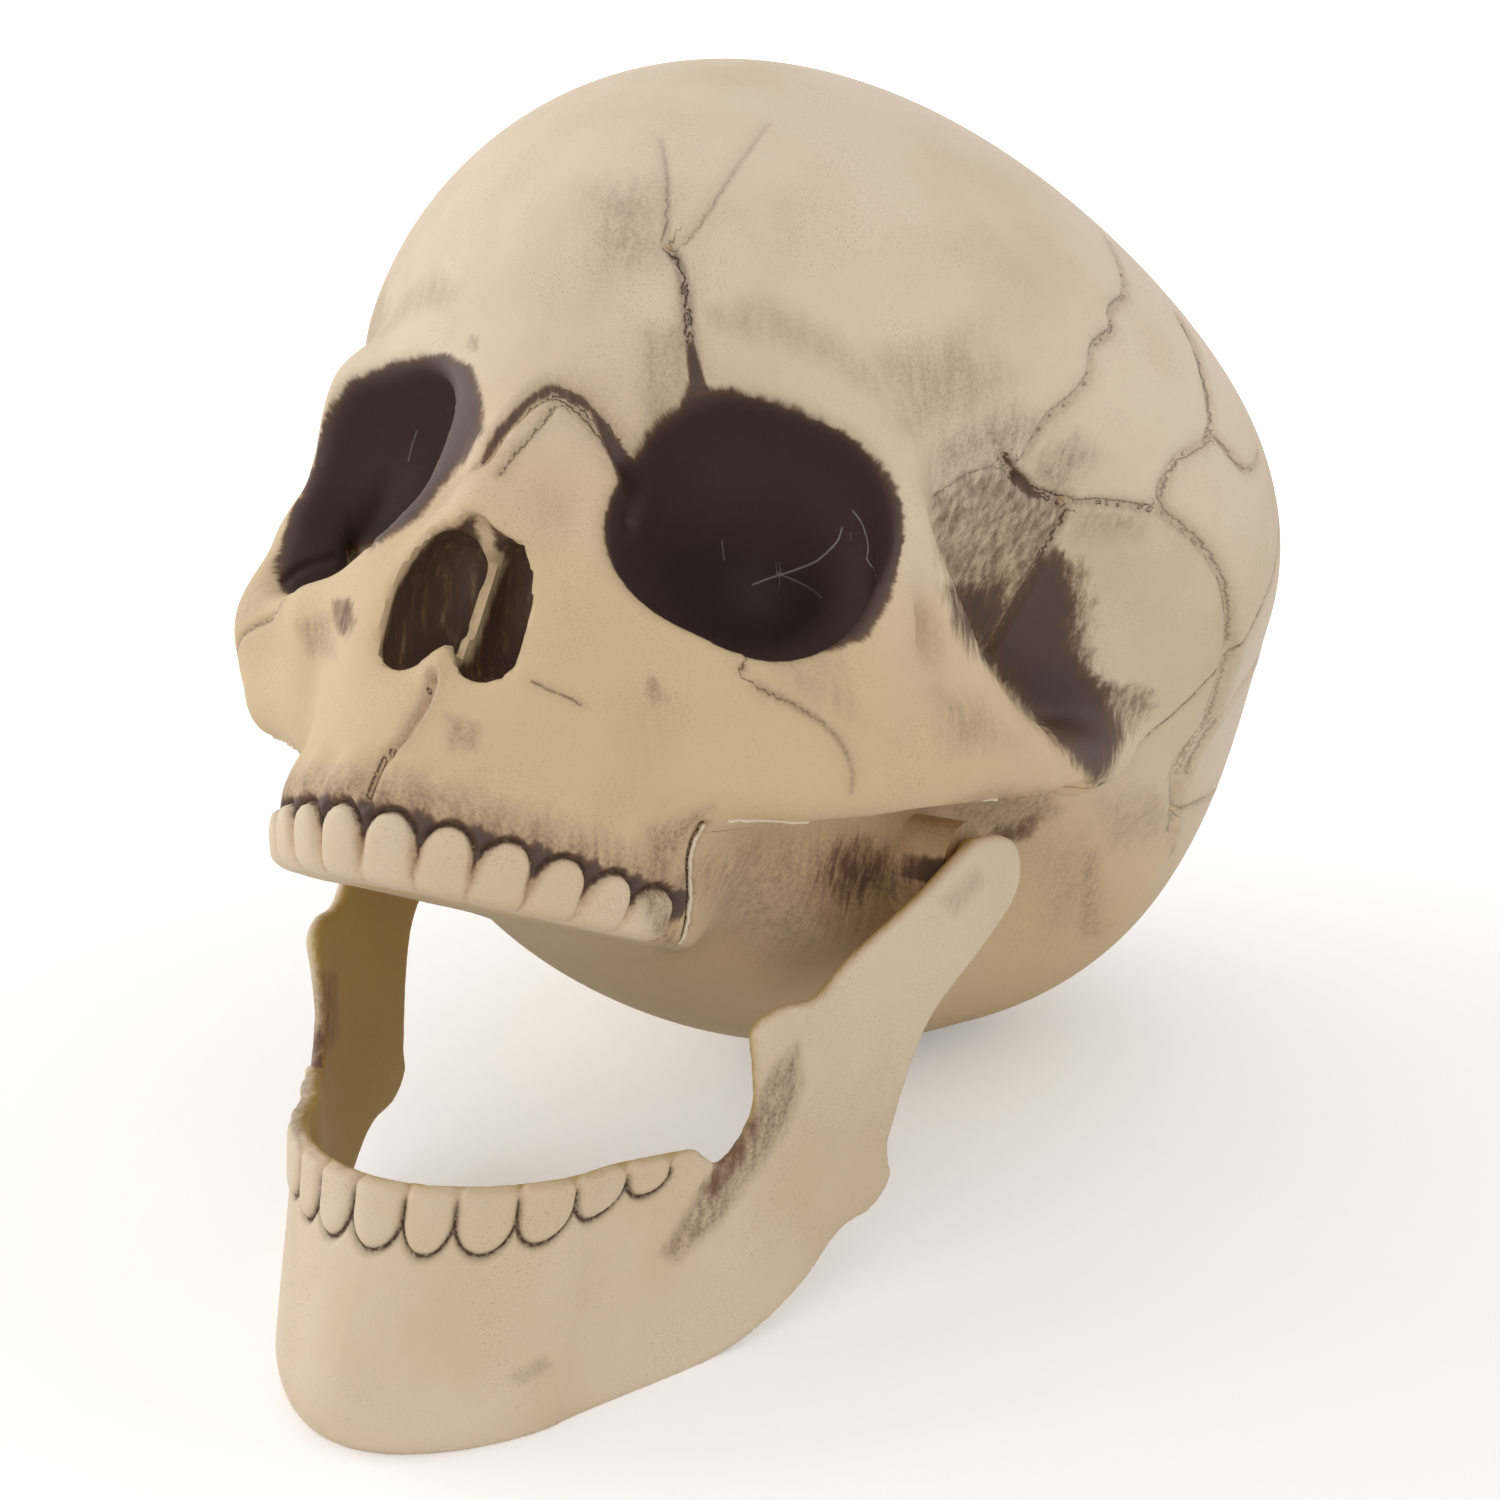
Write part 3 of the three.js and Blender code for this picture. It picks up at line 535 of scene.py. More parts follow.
def refine(made, wanted, passes):
    for _ in range(passes):
        tidy = bmesh.new()
        tidy.from_mesh(made.data)
        tidy.verts.ensure_lookup_table()
        picked = wanted(pointsOf(made.data))
        edges = [e for e in tidy.edges if picked[e.verts[0].index] and picked[e.verts[1].index]]
        bmesh.ops.subdivide_edges(tidy, edges=edges, cuts=1, use_grid_fill=True)
        tidy.to_mesh(made.data)
        tidy.free()


def setPoints(made, points):
    made.data.vertices.foreach_set("co", points.astype(np.float32).ravel())
    made.data.update()


meshSteps = {"jaw": 0.9, "skin": 1.2, "lining": 3}
skullBox, jawBox = ((-92, -118, -70), (92, 116, 118)), ((-64, -112, -92), (64, 20, 14))
crownReach, noCrown = 8, 9.0  # a gap past the first means that no crown is near
lineReach = 9.0  # lines mark nothing beyond it


crownShape = {"taperPower": 1.4, "arch": 0.36, "archPower": 2.2, "corner": 1.6}


# Gap from a spot to its crown's edge, negative inside: across runs -1 to 1, height starts at the bite
def crownEdge(across, width, height, full, taper):
    a, v = np.abs(across), height / full
    beside = (a - (1 - taper * np.clip(v, 0, 1) ** crownShape["taperPower"])) * width / 2
    above = (v - (1 - crownShape["arch"] * a ** crownShape["archPower"])) * full
    return -join(-beside, -above, crownShape["corner"])


def crownRelief(edge, proud, deep):
    inside = proud * (1 - np.exp(np.minimum(edge, 0) / 0.9))
    return np.where(edge < 0, inside, 0) - deep * np.exp(-((edge - 0.35) / 0.75) ** 2)


# Lower teeth: photo pixels of the gaps between crowns, from the far side to the near side
lowerTeeth = {"gaps": [(301, 1180), (320, 1190), (352, 1205), (403, 1215), (455, 1222), (518, 1216),
                       (577, 1203), (627, 1190), (672, 1176)],
              "tall": [(0, 9.2), (22, 9.2), (34, 7), (46, 5)], "taper": 0.08, "proud": 0.8, "deep": 0.7, "notch": 0.9,
              "rowDepth": 16, "skinDepth": 1.3}


def unJaw(points):
    return turnX(points - stand["hinge"], -stand["jawOpen"])


def lowerCrowns(q):
    off, along = jawOff(q)
    spot = along * np.where(q[:, 0] < 0, -1, 1)
    below = -sideOf(q, jaw["bite"], jaw["front"][-1])
    gaps = lowerTeeth["spots"]
    i = np.clip(np.searchsorted(gaps, spot) - 1, 0, len(gaps) - 2)
    width = gaps[i + 1] - gaps[i]
    across = (spot - (gaps[i] + gaps[i + 1]) / 2) / width * 2
    tall = np.interp(np.abs(spot), *np.transpose(lowerTeeth["tall"]))
    edge = crownEdge(across, width, below, tall, lowerTeeth["taper"])
    here = (spot > gaps[0] - 1) & (spot < gaps[-1] + 1)
    here &= (off > -lowerTeeth["skinDepth"]) & (below < lowerTeeth["rowDepth"])
    return np.where(here, edge, noCrown), below, np.abs(across)


points, quads = surfaceNet(jawField, *jawBox, meshSteps["jaw"])
jawLook = meshFrom("jawLook", fromJaw(points), quads)
jawTree = treeOf(jawLook)
found = unJaw(castOn(jawTree, lowerTeeth["gaps"]))
found = jawOff(found)[1] * np.sign(found[:, 0])
lowerTeeth["spots"] = np.sort(np.concatenate([found, -found[found > 4 - found.min()]]))
refine(jawLook, lambda p: np.abs(lowerCrowns(unJaw(p))[0]) < 4, 1)
spots = slideOnto(jawField, unJaw(pointsOf(jawLook.data)), meshSteps["jaw"], 1)
turned = normalsOf(jawField, spots)
edge, below, across = lowerCrowns(spots)
lift = crownRelief(edge, lowerTeeth["proud"], lowerTeeth["deep"]) * smooth(below, -0.5, 1.5)
lift *= smooth(np.abs(turned[:, 2]), 0.9, 0.5)  # not on the bite face
spots += turned * np.where(edge < crownReach, lift, 0)[:, None]
notch = np.where(edge < crownReach, lowerTeeth["notch"], 0)
spots[:, 2] -= notch * smooth(across, 0.72, 1) * smooth(below, 2.5, 0.5)
setPoints(jawLook, fromJaw(spots))
for side in (-1, 1):
    boss = hingeBar("boss", hinge["earRadius"], side * hinge["ear"], side * (atHinge - hinge["earInWall"]))
    combine(jawLook, boss, "UNION")
    bore = hingeBar("bore", hinge["pin"], side * hinge["bossFace"], side * (atHinge - hinge["pinInWall"]))
    combine(jawLook, bore, "DIFFERENCE")
    drop(boss, bore)
ground = slab("ground")
combine(jawLook, ground, "DIFFERENCE")
print("jaw", len(jawLook.data.vertices), len(jawLook.data.polygons))


# Gap to a path, the side of it as seen from outside, and the share of its length
def besidePath(points, path, normals=None, reach=lineReach):
    gap, side, share = np.full(len(points), 99.0), np.ones(len(points)), np.zeros(len(points))
    close = np.flatnonzero(((points > path.min(0) - reach) & (points < path.max(0) + reach)).all(1))
    p = points[close]
    best, place, turn = np.full(len(p), 99.0), np.zeros(len(p)), np.zeros((len(p), 3))
    for k, (a, b) in enumerate(zip(path[:-1], path[1:])):
        d = b - a
        t = np.clip((p - a) @ d / max(d @ d, 1e-9), 0, 1)
        off = p - a - t[:, None] * d
        far = np.sqrt((off * off).sum(1))
        nearer = far < best
        best = np.where(nearer, far, best)
        place = np.where(nearer, (k + t) / (len(path) - 1), place)
        turn = np.where(nearer[:, None], np.cross(d, off), turn)
    gap[close], share[close] = best, place
    if normals is not None:
        side[close] = np.where((turn * normals[close]).sum(1) >= 0, 1, -1)
    return gap, side, share


# A moulded line along photo pixels: half width and depth of its groove, a lip beside it (its sign says which side),
# the strength of the painted line and its half width
def scored(width, depth, lip, markStrength, fine, pixels=(), twin=False, taper=0):
    return {"width": width, "depth": depth, "lip": lip, "markStrength": markStrength, "fine": fine, "pixels": pixels, "twin": twin,
            "taper": taper}


lines = {
    "browCrackLeft": scored(0.9, 0.8, -0.4, 0.5, 0.5, [(661, 138), (666, 165), (667, 205),
        (665, 243)], taper=1),
    "browCrackRight": scored(0.9, 0.8, 0.5, 0.45, 0.5, [(770, 122), (745, 155), (715, 200), (690, 235),
        (672, 246)], taper=1),
    "browCrack": scored(0.8, 0.8, 0, 0.85, 0.7, [(668, 245), (681, 270), (686, 300), (688, 330), (692, 352),
        (697, 374)]),
    "coronal": scored(0.9, 0.8, -0.5, 0.5, 0.55, [(1087, 210), (1108, 242), (1121, 270), (1125, 294),
        (1111, 310), (1112, 330), (1094, 345), (1090, 374), (1072, 398), (1050, 416), (1034, 440),
        (1022, 462)], twin=True),
    "coronalLow": scored(1.2, 1.2, 0.3, 1, 0.9, [(1003, 456), (1012, 472), (1022, 484), (1036, 494),
        (1066, 503)], twin=True),
    "pterion": scored(0.8, 0.8, 0.4, 0.7, 0.5, [(1066, 503), (1085, 502), (1105, 503), (1130, 506),
        (1155, 510)], twin=True),
    "templeLine": scored(0.6, 0.4, -0.3, 0.45, 0.4, [(934, 497), (950, 486), (970, 473), (990, 467),
        (1006, 468), (1020, 480)], twin=True),
    "templeRidge": scored(0.8, 0.8, 0.4, 0.8, 0.6, [(1066, 509), (1056, 528), (1045, 548), (1033, 572),
        (1021, 596), (1004, 626), (988, 653)], twin=True),
    "rear": scored(1, 0.9, 0.5, 0.45, 0.6, [(1181, 322), (1194, 345), (1202, 369), (1208, 395), (1211, 420),
        (1208, 440), (1190, 452), (1176, 462), (1165, 480), (1160, 500), (1165, 514), (1182, 528), (1195, 539),
        (1212, 560), (1222, 578), (1227, 600), (1229, 620), (1228, 644)], twin=True),
    "rearBranch": scored(0.8, 0.8, 0.4, 0.4, 0.5, [(1210, 432), (1222, 444), (1234, 458), (1246, 470),
        (1254, 467), (1258, 456)], twin=True),
    "cheek": scored(0.7, 0.7, -0.4, 0.75, 0.5, [(717, 639), (729, 650), (742, 667), (761, 688), (785, 700),
        (808, 713), (828, 728), (845, 750), (853, 775), (851, 795)], twin=True, taper=-1),
    "maxilla": scored(0.7, 1, 0.5, 0.85, 0.45, [(433, 674), (430, 690), (424, 705), (410, 728), (396, 746),
        (380, 765), (372, 784), (366, 802)]),
    "nasalTop": scored(1.5, 1.7, 0.6, 0.9, 0.9, [(482, 459), (492, 442), (505, 424), (530, 400), (552, 390),
        (574, 399), (599, 424), (617, 449), (630, 474), (636, 499), (633, 520)]),
    "nasalMid": scored(0.6, 0.6, 0.3, 0.6, 0.45, [(556, 402), (545, 418), (530, 436), (514, 453), (499, 474)]),
    "noseCrack": scored(0.4, 0.2, 0, 0.5, 0.25, [(531, 681), (548, 689), (567, 697), (583, 705)]),
    "underEye": scored(0.7, 0.5, 0.3, 0.4, 0.4, [(284, 582), (296, 572), (311, 564), (330, 559), (350, 553),
        (374, 546)]),
    "rearGroove": scored(2, 1.5, 0.9, 0.35, 0.8, [(1230, 655), (1220, 689), (1209, 722), (1187, 753),
        (1177, 776), (1172, 807), (1169, 832)], twin=True),
    "rearFold": scored(1.2, 1, 0.5, 0.35, 0.6, [(1254, 666), (1237, 693), (1212, 727), (1194, 755),
        (1185, 775)], twin=True),
    "mastoid": scored(2.6, -1.2, 0, 0, 0.5, [(1163, 793), (1170, 833), (1153, 867), (1113, 917)], twin=True),
    "rearNotch": scored(0.9, 0.9, 0.4, 0.4, 0.5, [(1168, 812), (1188, 806), (1212, 795)], twin=True),
}
scratches = {
    "long": scored(1, 0, 0, 0.75, 0.14, [(842, 528), (836, 543), (818, 560), (795, 570), (770, 578),
        (752, 585)]),
    "side": scored(1, 0, 0, 0.7, 0.14, [(852, 510), (862, 524), (868, 545), (868, 562), (876, 577)]),
    "short": scored(1, 0, 0, 0.5, 0.12, [(775, 573), (800, 583), (822, 598)]),
    "upright": scored(1, 0, 0, 0.4, 0.12, [(722, 540), (724, 560)]),
    "right": scored(1, 0, 0, 0.35, 0.12, [(417, 430), (412, 446), (408, 462)]),
}


def bothSides(path):
    return [(path, 1), (path * (-1, 1, 1), -1)]


def tracePaths(tree, table):
    for row in table.values():
        if "paths" not in row:
            path = castOn(tree, row["pixels"])
            row["paths"] = bothSides(spline(path, 5 * len(path)))[:2 if row["twin"] else 1]


def lineTaper(row, share):
    return 1 - 0.75 * (1 - share if row["taper"] > 0 else share) * abs(row["taper"])


def lineRelief(points, normals, table):
    total = np.zeros(len(points))
    for row in table.values():
        for path, hand in row["paths"]:
            gap, side, share = besidePath(points, path, normals)
            q = gap * side * hand
            w, lip = row["width"], row["lip"]
            bump = np.where(q * np.sign(lip) > 0, abs(lip), 0) * (1 - np.exp(-(gap / w) ** 2))
            bump *= np.exp(-(gap / (2.6 * w)) ** 2)
            total += lineTaper(row, share) * (bump - row["depth"] * np.exp(-(gap / w) ** 2))
    return total


# The nearest line's signed gap in its own half widths, and its strength, which ends where the line does
def lineMarks(points, normals, table):
    rift, best = np.full((2, len(points)), lineReach)
    strength, halo = np.zeros((2, len(points)))
    for row in table.values():
        for path, _ in row["paths"]:
            gap, side, share = besidePath(points, path, normals)
            size = lineTaper(row, share) * row["markStrength"]
            within = (share > 0.002) & (share < 0.998)
            nearer = gap + 1.5 * ~within < best
            rift = np.where(nearer, np.clip(gap * side / row["fine"], -lineReach, lineReach), rift)
            strength = np.where(nearer, size * within * smooth(gap, 2.4, 1.5), strength)
            best = np.where(nearer, gap + 1.5 * ~within, best)
            halo = np.maximum(halo, 0.5 * size * np.exp(-(gap / (2.2 * row["width"])) ** 2))
    return rift, strength, halo


# Upper teeth: angles of the gaps round the arch, left and right of the middle
upperTeeth = {"centre": -68, "height": 9.4, "left": [0, 13.9, 27.7, 42.7, 59.1, 76.7, 98],
              "right": [0, 12.5, 24, 37, 53, 72, 95], "roots": 0.35, "proud": 1.1, "deep": 1.2, "taper": 0.22,
              "first": 1.04, "shorter": 0.05, "rear": -50, "inside": 18, "rowDepth": 18}


def upperCrowns(p):
    angle = np.degrees(np.arctan2(p[:, 0], upperTeeth["centre"] - p[:, 1]))
    reach = np.hypot(p[:, 0], p[:, 1] - upperTeeth["centre"])
    edge, share, aside = np.full(len(p), noCrown), np.zeros(len(p)), np.zeros(len(p))
    bite = sideOf(p, seam["biteFront"], seam["biteRear"])
    for gaps, sign in ((upperTeeth["left"], 1), (upperTeeth["right"], -1)):
        turn, gaps = angle * sign, np.array(gaps, float)
        i = np.clip(np.searchsorted(gaps, turn) - 1, 0, len(gaps) - 2)
        width = np.radians(gaps[i + 1] - gaps[i]) * reach
        across = (turn - (gaps[i] + gaps[i + 1]) / 2) / (gaps[i + 1] - gaps[i]) * 2
        tall = upperTeeth["height"] * (upperTeeth["first"] - upperTeeth["shorter"] * i)
        here = (turn >= 0) & (turn < gaps[-1] + 6)
        edge = np.where(here, crownEdge(across, width, bite, tall, upperTeeth["taper"]), edge)
        share = np.where(here, bite / tall, share)
        aside = np.where(here, np.abs(across), aside)
    front = (p[:, 1] < upperTeeth["rear"]) & (reach > upperTeeth["inside"]) & (bite < upperTeeth["rowDepth"])
    return np.where(front, edge, noCrown), share, np.where(front, np.abs(angle), 180), aside


def upperRelief(p):
    edge, share, angle, _ = upperCrowns(p)
    zone = smooth(share, 1.7, 1.2) * smooth(angle, 114, 106)
    roots = upperTeeth["roots"] * np.cos(np.radians(angle * 24)) * smooth(angle, 84, 72)
    roots *= smooth(share, 0.9, 1.4) * smooth(share, 2.8, 1.6)
    crowns = crownRelief(edge, upperTeeth["proud"], upperTeeth["deep"] * smooth(share, 0.05, 0.5))
    return zone * crowns * smooth(share, -0.1, 0.2) - roots


# Where the skin needs a finer mesh: along the lines and over the tooth row
def nearDetail(points):
    near = np.zeros(len(points), bool)
    for row in (*lines.values(), *scratches.values()):
        for path, _ in row["paths"]:
            near |= besidePath(points, path, reach=4)[0] < 2.6
    _, share, angle, _ = upperCrowns(points)
    return near | ((share < 1.35) & (angle < 112))


# Points of a field's surface above a straight line of the side view
def alongEdge(field, start, end, count, low=5.0, high=90.0):
    spots = np.linspace(start, end, count)
    near, far = np.full(count, low), np.full(count, high)
    for _ in range(30):
        middle = (near + far) / 2
        inside = field(np.column_stack([middle, spots])) < 0
        near, far = np.where(inside, middle, near), np.where(inside, far, middle)
    return np.column_stack([near, spots])


# Along the molar edge: a groove with a dark painted line and haze beside it, painted shadow of the step behind the
# face shell's edge
molar = alongEdge(skinField, np.add(seam["biteRear"], (-1, 1)), np.add(seam["cheekCorner"], (-0.8, -0.5)), 20)
lines["molar"] = {**scored(0.7, 0.7, 0, 1, 0.5), "paths": bothSides(molar)}
# Along the parting line between the shells: a shallow groove with a dark painted line and haze, painted shade in
# place of the joint's gap
corners = np.add([seam["archEnd"], *seam["crown"]], (seam["setBack"], -seam["setDown"]))
parting = np.concatenate([alongEdge(skinField, a, b, 40, 0.0) for a, b in zip(corners[:-1], corners[1:])])
parting = parting[parting[:, 0] > 1]
lines["parting"] = {**scored(0.5, 0.35, 0, 0.6, 0.3), "paths": bothSides(parting)}
skin = meshFrom("skin", *surfaceNet(skinField, *skullBox, meshSteps["skin"]))
skinTree = treeOf(skin)
tracePaths(skinTree, lines)
tracePaths(skinTree, scratches)
refine(skin, nearDetail, 1)
spots = slideOnto(skinField, pointsOf(skin.data), meshSteps["skin"], 1)
turned = normalsOf(skinField, spots)
spots += turned * (lineRelief(spots, turned, lines) + upperRelief(spots))[:, None]
setPoints(skin, spots)
print("skin", len(skin.data.vertices), len(skin.data.polygons))
hollow = meshFrom("hollow", *surfaceNet(hollowField, *skullBox, meshSteps["lining"]))
print("hollow", len(hollow.data.vertices))
combine(skin, hollow, "DIFFERENCE")
behind, beside = behindSeam("behind", 0), behindSeam("beside", seam["gap"])
faceShell, backShell = skin, skin.copy()
backShell.data = skin.data.copy()
bpy.context.scene.collection.objects.link(backShell)
combine(faceShell, behind, "DIFFERENCE")
combine(backShell, beside, "INTERSECT")
for side in (-1, 1):
    boss = hingeBar("boss", hinge["bossRadius"], side * hinge["bossEnd"], side * hinge["bossFace"])
    clear = hingeBar("clear", hinge["clear"], side * hinge["bossFace"], side * (atHinge + hinge["clear"]), 64)
    bay = hingeBar("bay", hinge["bayRadius"], side * hinge["bossEnd"], side * hinge["bayEnd"])
    combine(backShell, boss, "UNION")
    combine(backShell, clear, "DIFFERENCE")
    combine(backShell, bay, "DIFFERENCE")
    drop(boss, clear, bay)
combine(backShell, ground, "DIFFERENCE")
drop(hollow, behind, beside, ground)
faceShell.name, backShell.name = "faceShellLook", "backShellLook"
print("shells", len(faceShell.data.polygons), len(backShell.data.polygons))


# Brushed and sprayed paint inside an outline of photo pixels, softness in pixels too; a few outlines hold painted
# shade instead of the skull's own paint. Side 0 paints both sides
def daub(kind, amount, soft, side, outline):
    return {"kind": kind, "amount": amount, "soft": soft, "side": side, "outline": outline}


skullPaint = {
    "orbitLeft": daub("soot", 1, 20, 1, [(689, 392), (668, 425), (661, 455), (655, 492), (640, 505), (622, 517),
        (630, 549), (667, 586), (717, 624), (780, 642), (830, 649), (867, 636), (888, 600), (894, 575),
        (888, 530), (874, 492), (830, 449), (780, 411), (730, 390)]),
    "orbitRight": daub("soot", 1, 18, -1, [(349, 383), (395, 364), (442, 355), (470, 368), (480, 395),
        (481, 430), (465, 455), (449, 474), (417, 517), (380, 541), (342, 549), (305, 543), (299, 530),
        (305, 511), (322, 475), (336, 442), (345, 405)]),
    "browWedge": daub("soot", 0.9, 6, 1, [(688, 345), (694, 345), (708, 392), (690, 396)]),
    "nasalGroove": daub("soot", 1, 8, 1, [(590, 408), (602, 420), (621, 446), (636, 470), (644, 500),
        (640, 540), (624, 530), (626, 500), (616, 470), (603, 440)]),
    "nasalArch": daub("soot", 0.75, 9, 1, [(478, 462), (500, 425), (528, 396), (553, 384), (580, 396),
        (594, 412), (575, 404), (553, 393), (532, 405), (508, 430), (490, 458)]),
    "templeDeep": daub("soot", 1, 40, 0, [(1040, 560), (1058, 556), (1074, 600), (1070, 640), (1082, 668),
        (1102, 690), (1119, 736), (1106, 768), (1096, 778), (1060, 740), (1020, 697), (985, 655), (1012, 604)]),
    "templeFoot": daub("soot", 0.85, 60, 0, [(950, 590), (1000, 585), (1010, 610), (986, 656), (965, 628)]),
    "templeBrush": daub("brush", 0.7, 26, 0, [(931, 497), (969, 474), (1000, 468), (1030, 495), (1066, 507),
        (1045, 548), (1020, 596), (984, 652), (955, 605), (938, 560)]),
    "templeFringe": daub("brush", 0.75, 30, 0, [(1050, 545), (1085, 560), (1095, 610), (1090, 650), (1105, 680),
        (1150, 690), (1155, 705), (1125, 745), (1100, 775), (1050, 700), (1020, 640)]),
    "pterionHaze": daub("wash", 0.55, 36, 0, [(1030, 460), (1075, 435), (1098, 455), (1060, 500), (1040, 495)]),
    "pterionSoot": daub("soot", 0.8, 10, 0, [(1004, 456), (1012, 464), (1030, 484), (1040, 495), (1030, 498),
        (1012, 480)]),
    "coronalHaze": daub("wash", 0.6, 55, 0, [(940, 440), (1000, 405), (1050, 418), (1025, 452), (1005, 465),
        (970, 472), (930, 490)]),
    "plateHaze": daub("wash", 0.4, 34, 0, [(1070, 506), (1150, 512), (1140, 535), (1075, 540)]),
    "recessDark": daub("wash", 1, 60, 0, [(812, 850), (850, 832), (888, 845), (905, 880), (890, 905),
        (850, 915), (815, 900), (800, 875)]),
    "recessSoot": daub("soot", 0.45, 60, 0, [(830, 850), (860, 842), (885, 860), (885, 890), (850, 900),
        (828, 880)]),
    "recessWide": daub("wash", 0.5, 70, 0, [(690, 860), (740, 830), (880, 825), (940, 850), (930, 905),
        (880, 940), (800, 955), (740, 930), (690, 900)]),
    # Painted shadow: dark inside the hinge slot, where the jaw's tab goes through the wall
    "slotShadow": daub("soot", 1, 8, 0, [(936, 866), (948, 856), (956, 862), (944, 888), (936, 888)]),
    # Painted shadow under the jaw's condyle, laid on in brush strokes
    "condyleShade": daub("brush", 0.95, 18, 0, [(935, 875), (955, 848), (985, 834), (1030, 816), (1046, 810),
        (1032, 836), (985, 852), (955, 890)]),
    # Painted shade under the arch of the cheekbone
    "archShade": daub("wash", 0.55, 22, 0, [(952, 803), (1000, 788), (1050, 790), (1062, 812), (1020, 832),
        (980, 838), (948, 852)]),
    "rearHaze": daub("wash", 0.35, 50, 0, [(1100, 800), (1160, 795), (1165, 840), (1110, 850)]),
    "rearFoot": daub("wash", 0.3, 60, 0, [(1040, 850), (1085, 830), (1100, 900), (1050, 930)]),
    "rearSmear": daub("wash", 0.5, 22, 0, [(1078, 850), (1098, 850), (1098, 935), (1080, 935)]),
    # Painted shade along the face shell's rear edge by the molars, where the edge stands over the recess
    "molarEdge": daub("wash", 0.75, 26, 0, [(650, 830), (712, 808), (692, 832), (674, 858), (669, 900),
        (680, 948), (660, 948), (640, 900)]),
    "rootSmudge": daub("wash", 0.5, 16, 1, [(445, 715), (480, 725), (475, 750), (450, 748)]),
    "cheekPit": daub("wash", 0.75, 8, 1, [(647, 676), (658, 680), (664, 700), (655, 706), (648, 692)]),
    "cheekPitRight": daub("brush", 1, 12, -1, [(332, 600), (352, 598), (355, 622), (345, 640), (334, 628)]),
    "cheekHazeRight": daub("wash", 0.5, 18, -1, [(296, 622), (330, 612), (334, 655), (310, 655)]),
    "browPit": daub("wash", 0.5, 5, -1, [(467, 335), (478, 337), (478, 349), (469, 348)]),
    "browHaze": daub("wash", 0.45, 60, 1, [(590, 190), (655, 180), (660, 260), (600, 275)]),
    "glabellaHaze": daub("wash", 0.4, 26, 1, [(640, 330), (690, 320), (690, 385), (650, 440), (640, 400)]),
    "browSide": daub("wash", 0.3, 30, 0, [(700, 310), (760, 298), (830, 330), (890, 380), (880, 398),
        (800, 350), (720, 330)]),
    "outerBrow": daub("wash", 0.4, 60, 0, [(880, 360), (960, 330), (1010, 380), (960, 430), (900, 430)]),
    "cheekHaze": daub("wash", 0.3, 40, 0, [(760, 650), (840, 660), (860, 720), (800, 700)]),
    "archHaze": daub("wash", 0.4, 40, 0, [(930, 690), (980, 700), (1010, 745), (950, 750)]),
}
jawPaint = {
    "ridge": daub("wash", 0.75, 18, 0, [(797, 1045), (802, 1085), (785, 1130), (760, 1165), (720, 1220),
        (675, 1262), (662, 1252), (692, 1205), (728, 1150), (755, 1108), (772, 1070)]),
    "ridgeDeep": daub("brush", 0.9, 14, 0, [(762, 1118), (748, 1155), (714, 1196), (700, 1192), (722, 1152),
        (745, 1122)]),
    "condyle": daub("wash", 0.35, 20, 0, [(940, 900), (975, 870), (985, 880), (955, 915)]),
    "chinPatch": daub("wash", 0.35, 10, 1, [(510, 1375), (545, 1355), (552, 1366), (520, 1386)]),
    "farEdge": daub("wash", 0.7, 12, -1, [(318, 970), (336, 975), (338, 1035), (322, 1060), (308, 1050)]),
    "farGum": daub("wash", 0.6, 10, -1, [(290, 1085), (312, 1075), (305, 1110), (300, 1150), (288, 1120)]),
}


def outlineGap(spots, outline):
    gap = np.full(len(spots), 1e9)
    for a, b in zip(outline, np.roll(outline, -1, 0)):
        t = np.clip((spots - a) @ (b - a) / ((b - a) @ (b - a)), 0, 1)
        gap = np.minimum(gap, np.hypot(*(spots - a - t[:, None] * (b - a)).T))
    return np.where(insideOutline(spots, outline), -gap, gap)


def paintFrom(table, points, normals, kind):
    total = np.zeros(len(points))
    for row in table.values():
        if row["kind"] != kind:
            continue
        flip = np.where((points[:, :1] < 0) & (row["side"] == 0), -1, 1) * (1, 0, 0) + (0, 1, 1)
        p, n = points * flip, normals * flip
        seen = ((eye - p) * n).sum(1) > 0
        if row["side"]:
            seen &= p[:, 0] * row["side"] > -4
        spot = pixelsOf(p)
        outline = np.array(row["outline"], float)
        seen &= ((spot > outline.min(0) - row["soft"]) & (spot < outline.max(0) + row["soft"])).all(1)
        seen = np.flatnonzero(seen)
        if len(seen):
            amount = row["amount"] * smooth(outlineGap(spot[seen], outline), row["soft"] / 2, -row["soft"] / 2)
            total[seen] = np.maximum(total[seen], amount)
    return total


def paintOn(made, **values):
    for name, amounts in values.items():
        kind = "FLOAT_VECTOR" if amounts.ndim > 1 else "FLOAT"
        layer = made.data.attributes.new(name, kind, "POINT")
        layer.data.foreach_set("vector" if amounts.ndim > 1 else "value", amounts.astype(np.float32).ravel())


def vertexNormals(made):
    flat = np.empty(len(made.data.vertices) * 3, np.float32)
    made.data.vertex_normals.foreach_get("vector", flat)
    return flat.reshape(-1, 3).astype(float)


# Brush strokes run up and down as the skull is seen, and inwards round the eye sockets
def ringsOf(p):
    local = socketSpot(mirrored(p)) / face["socket"][1]
    turn, reach = np.arctan2(local[:, 2], local[:, 0]), np.hypot(local[:, 0], local[:, 2])
    return np.stack([20 * np.cos(turn), 20 * np.sin(turn), 3.5 * reach], 1)


paintShares = {"nose": 0.6, "gum": 0.9, "dent": 0.25, "bareBase": 0.15, "paleTeethAndLitBase": 0.6, "toothLine": 0.85, "jawTan": 0.2}


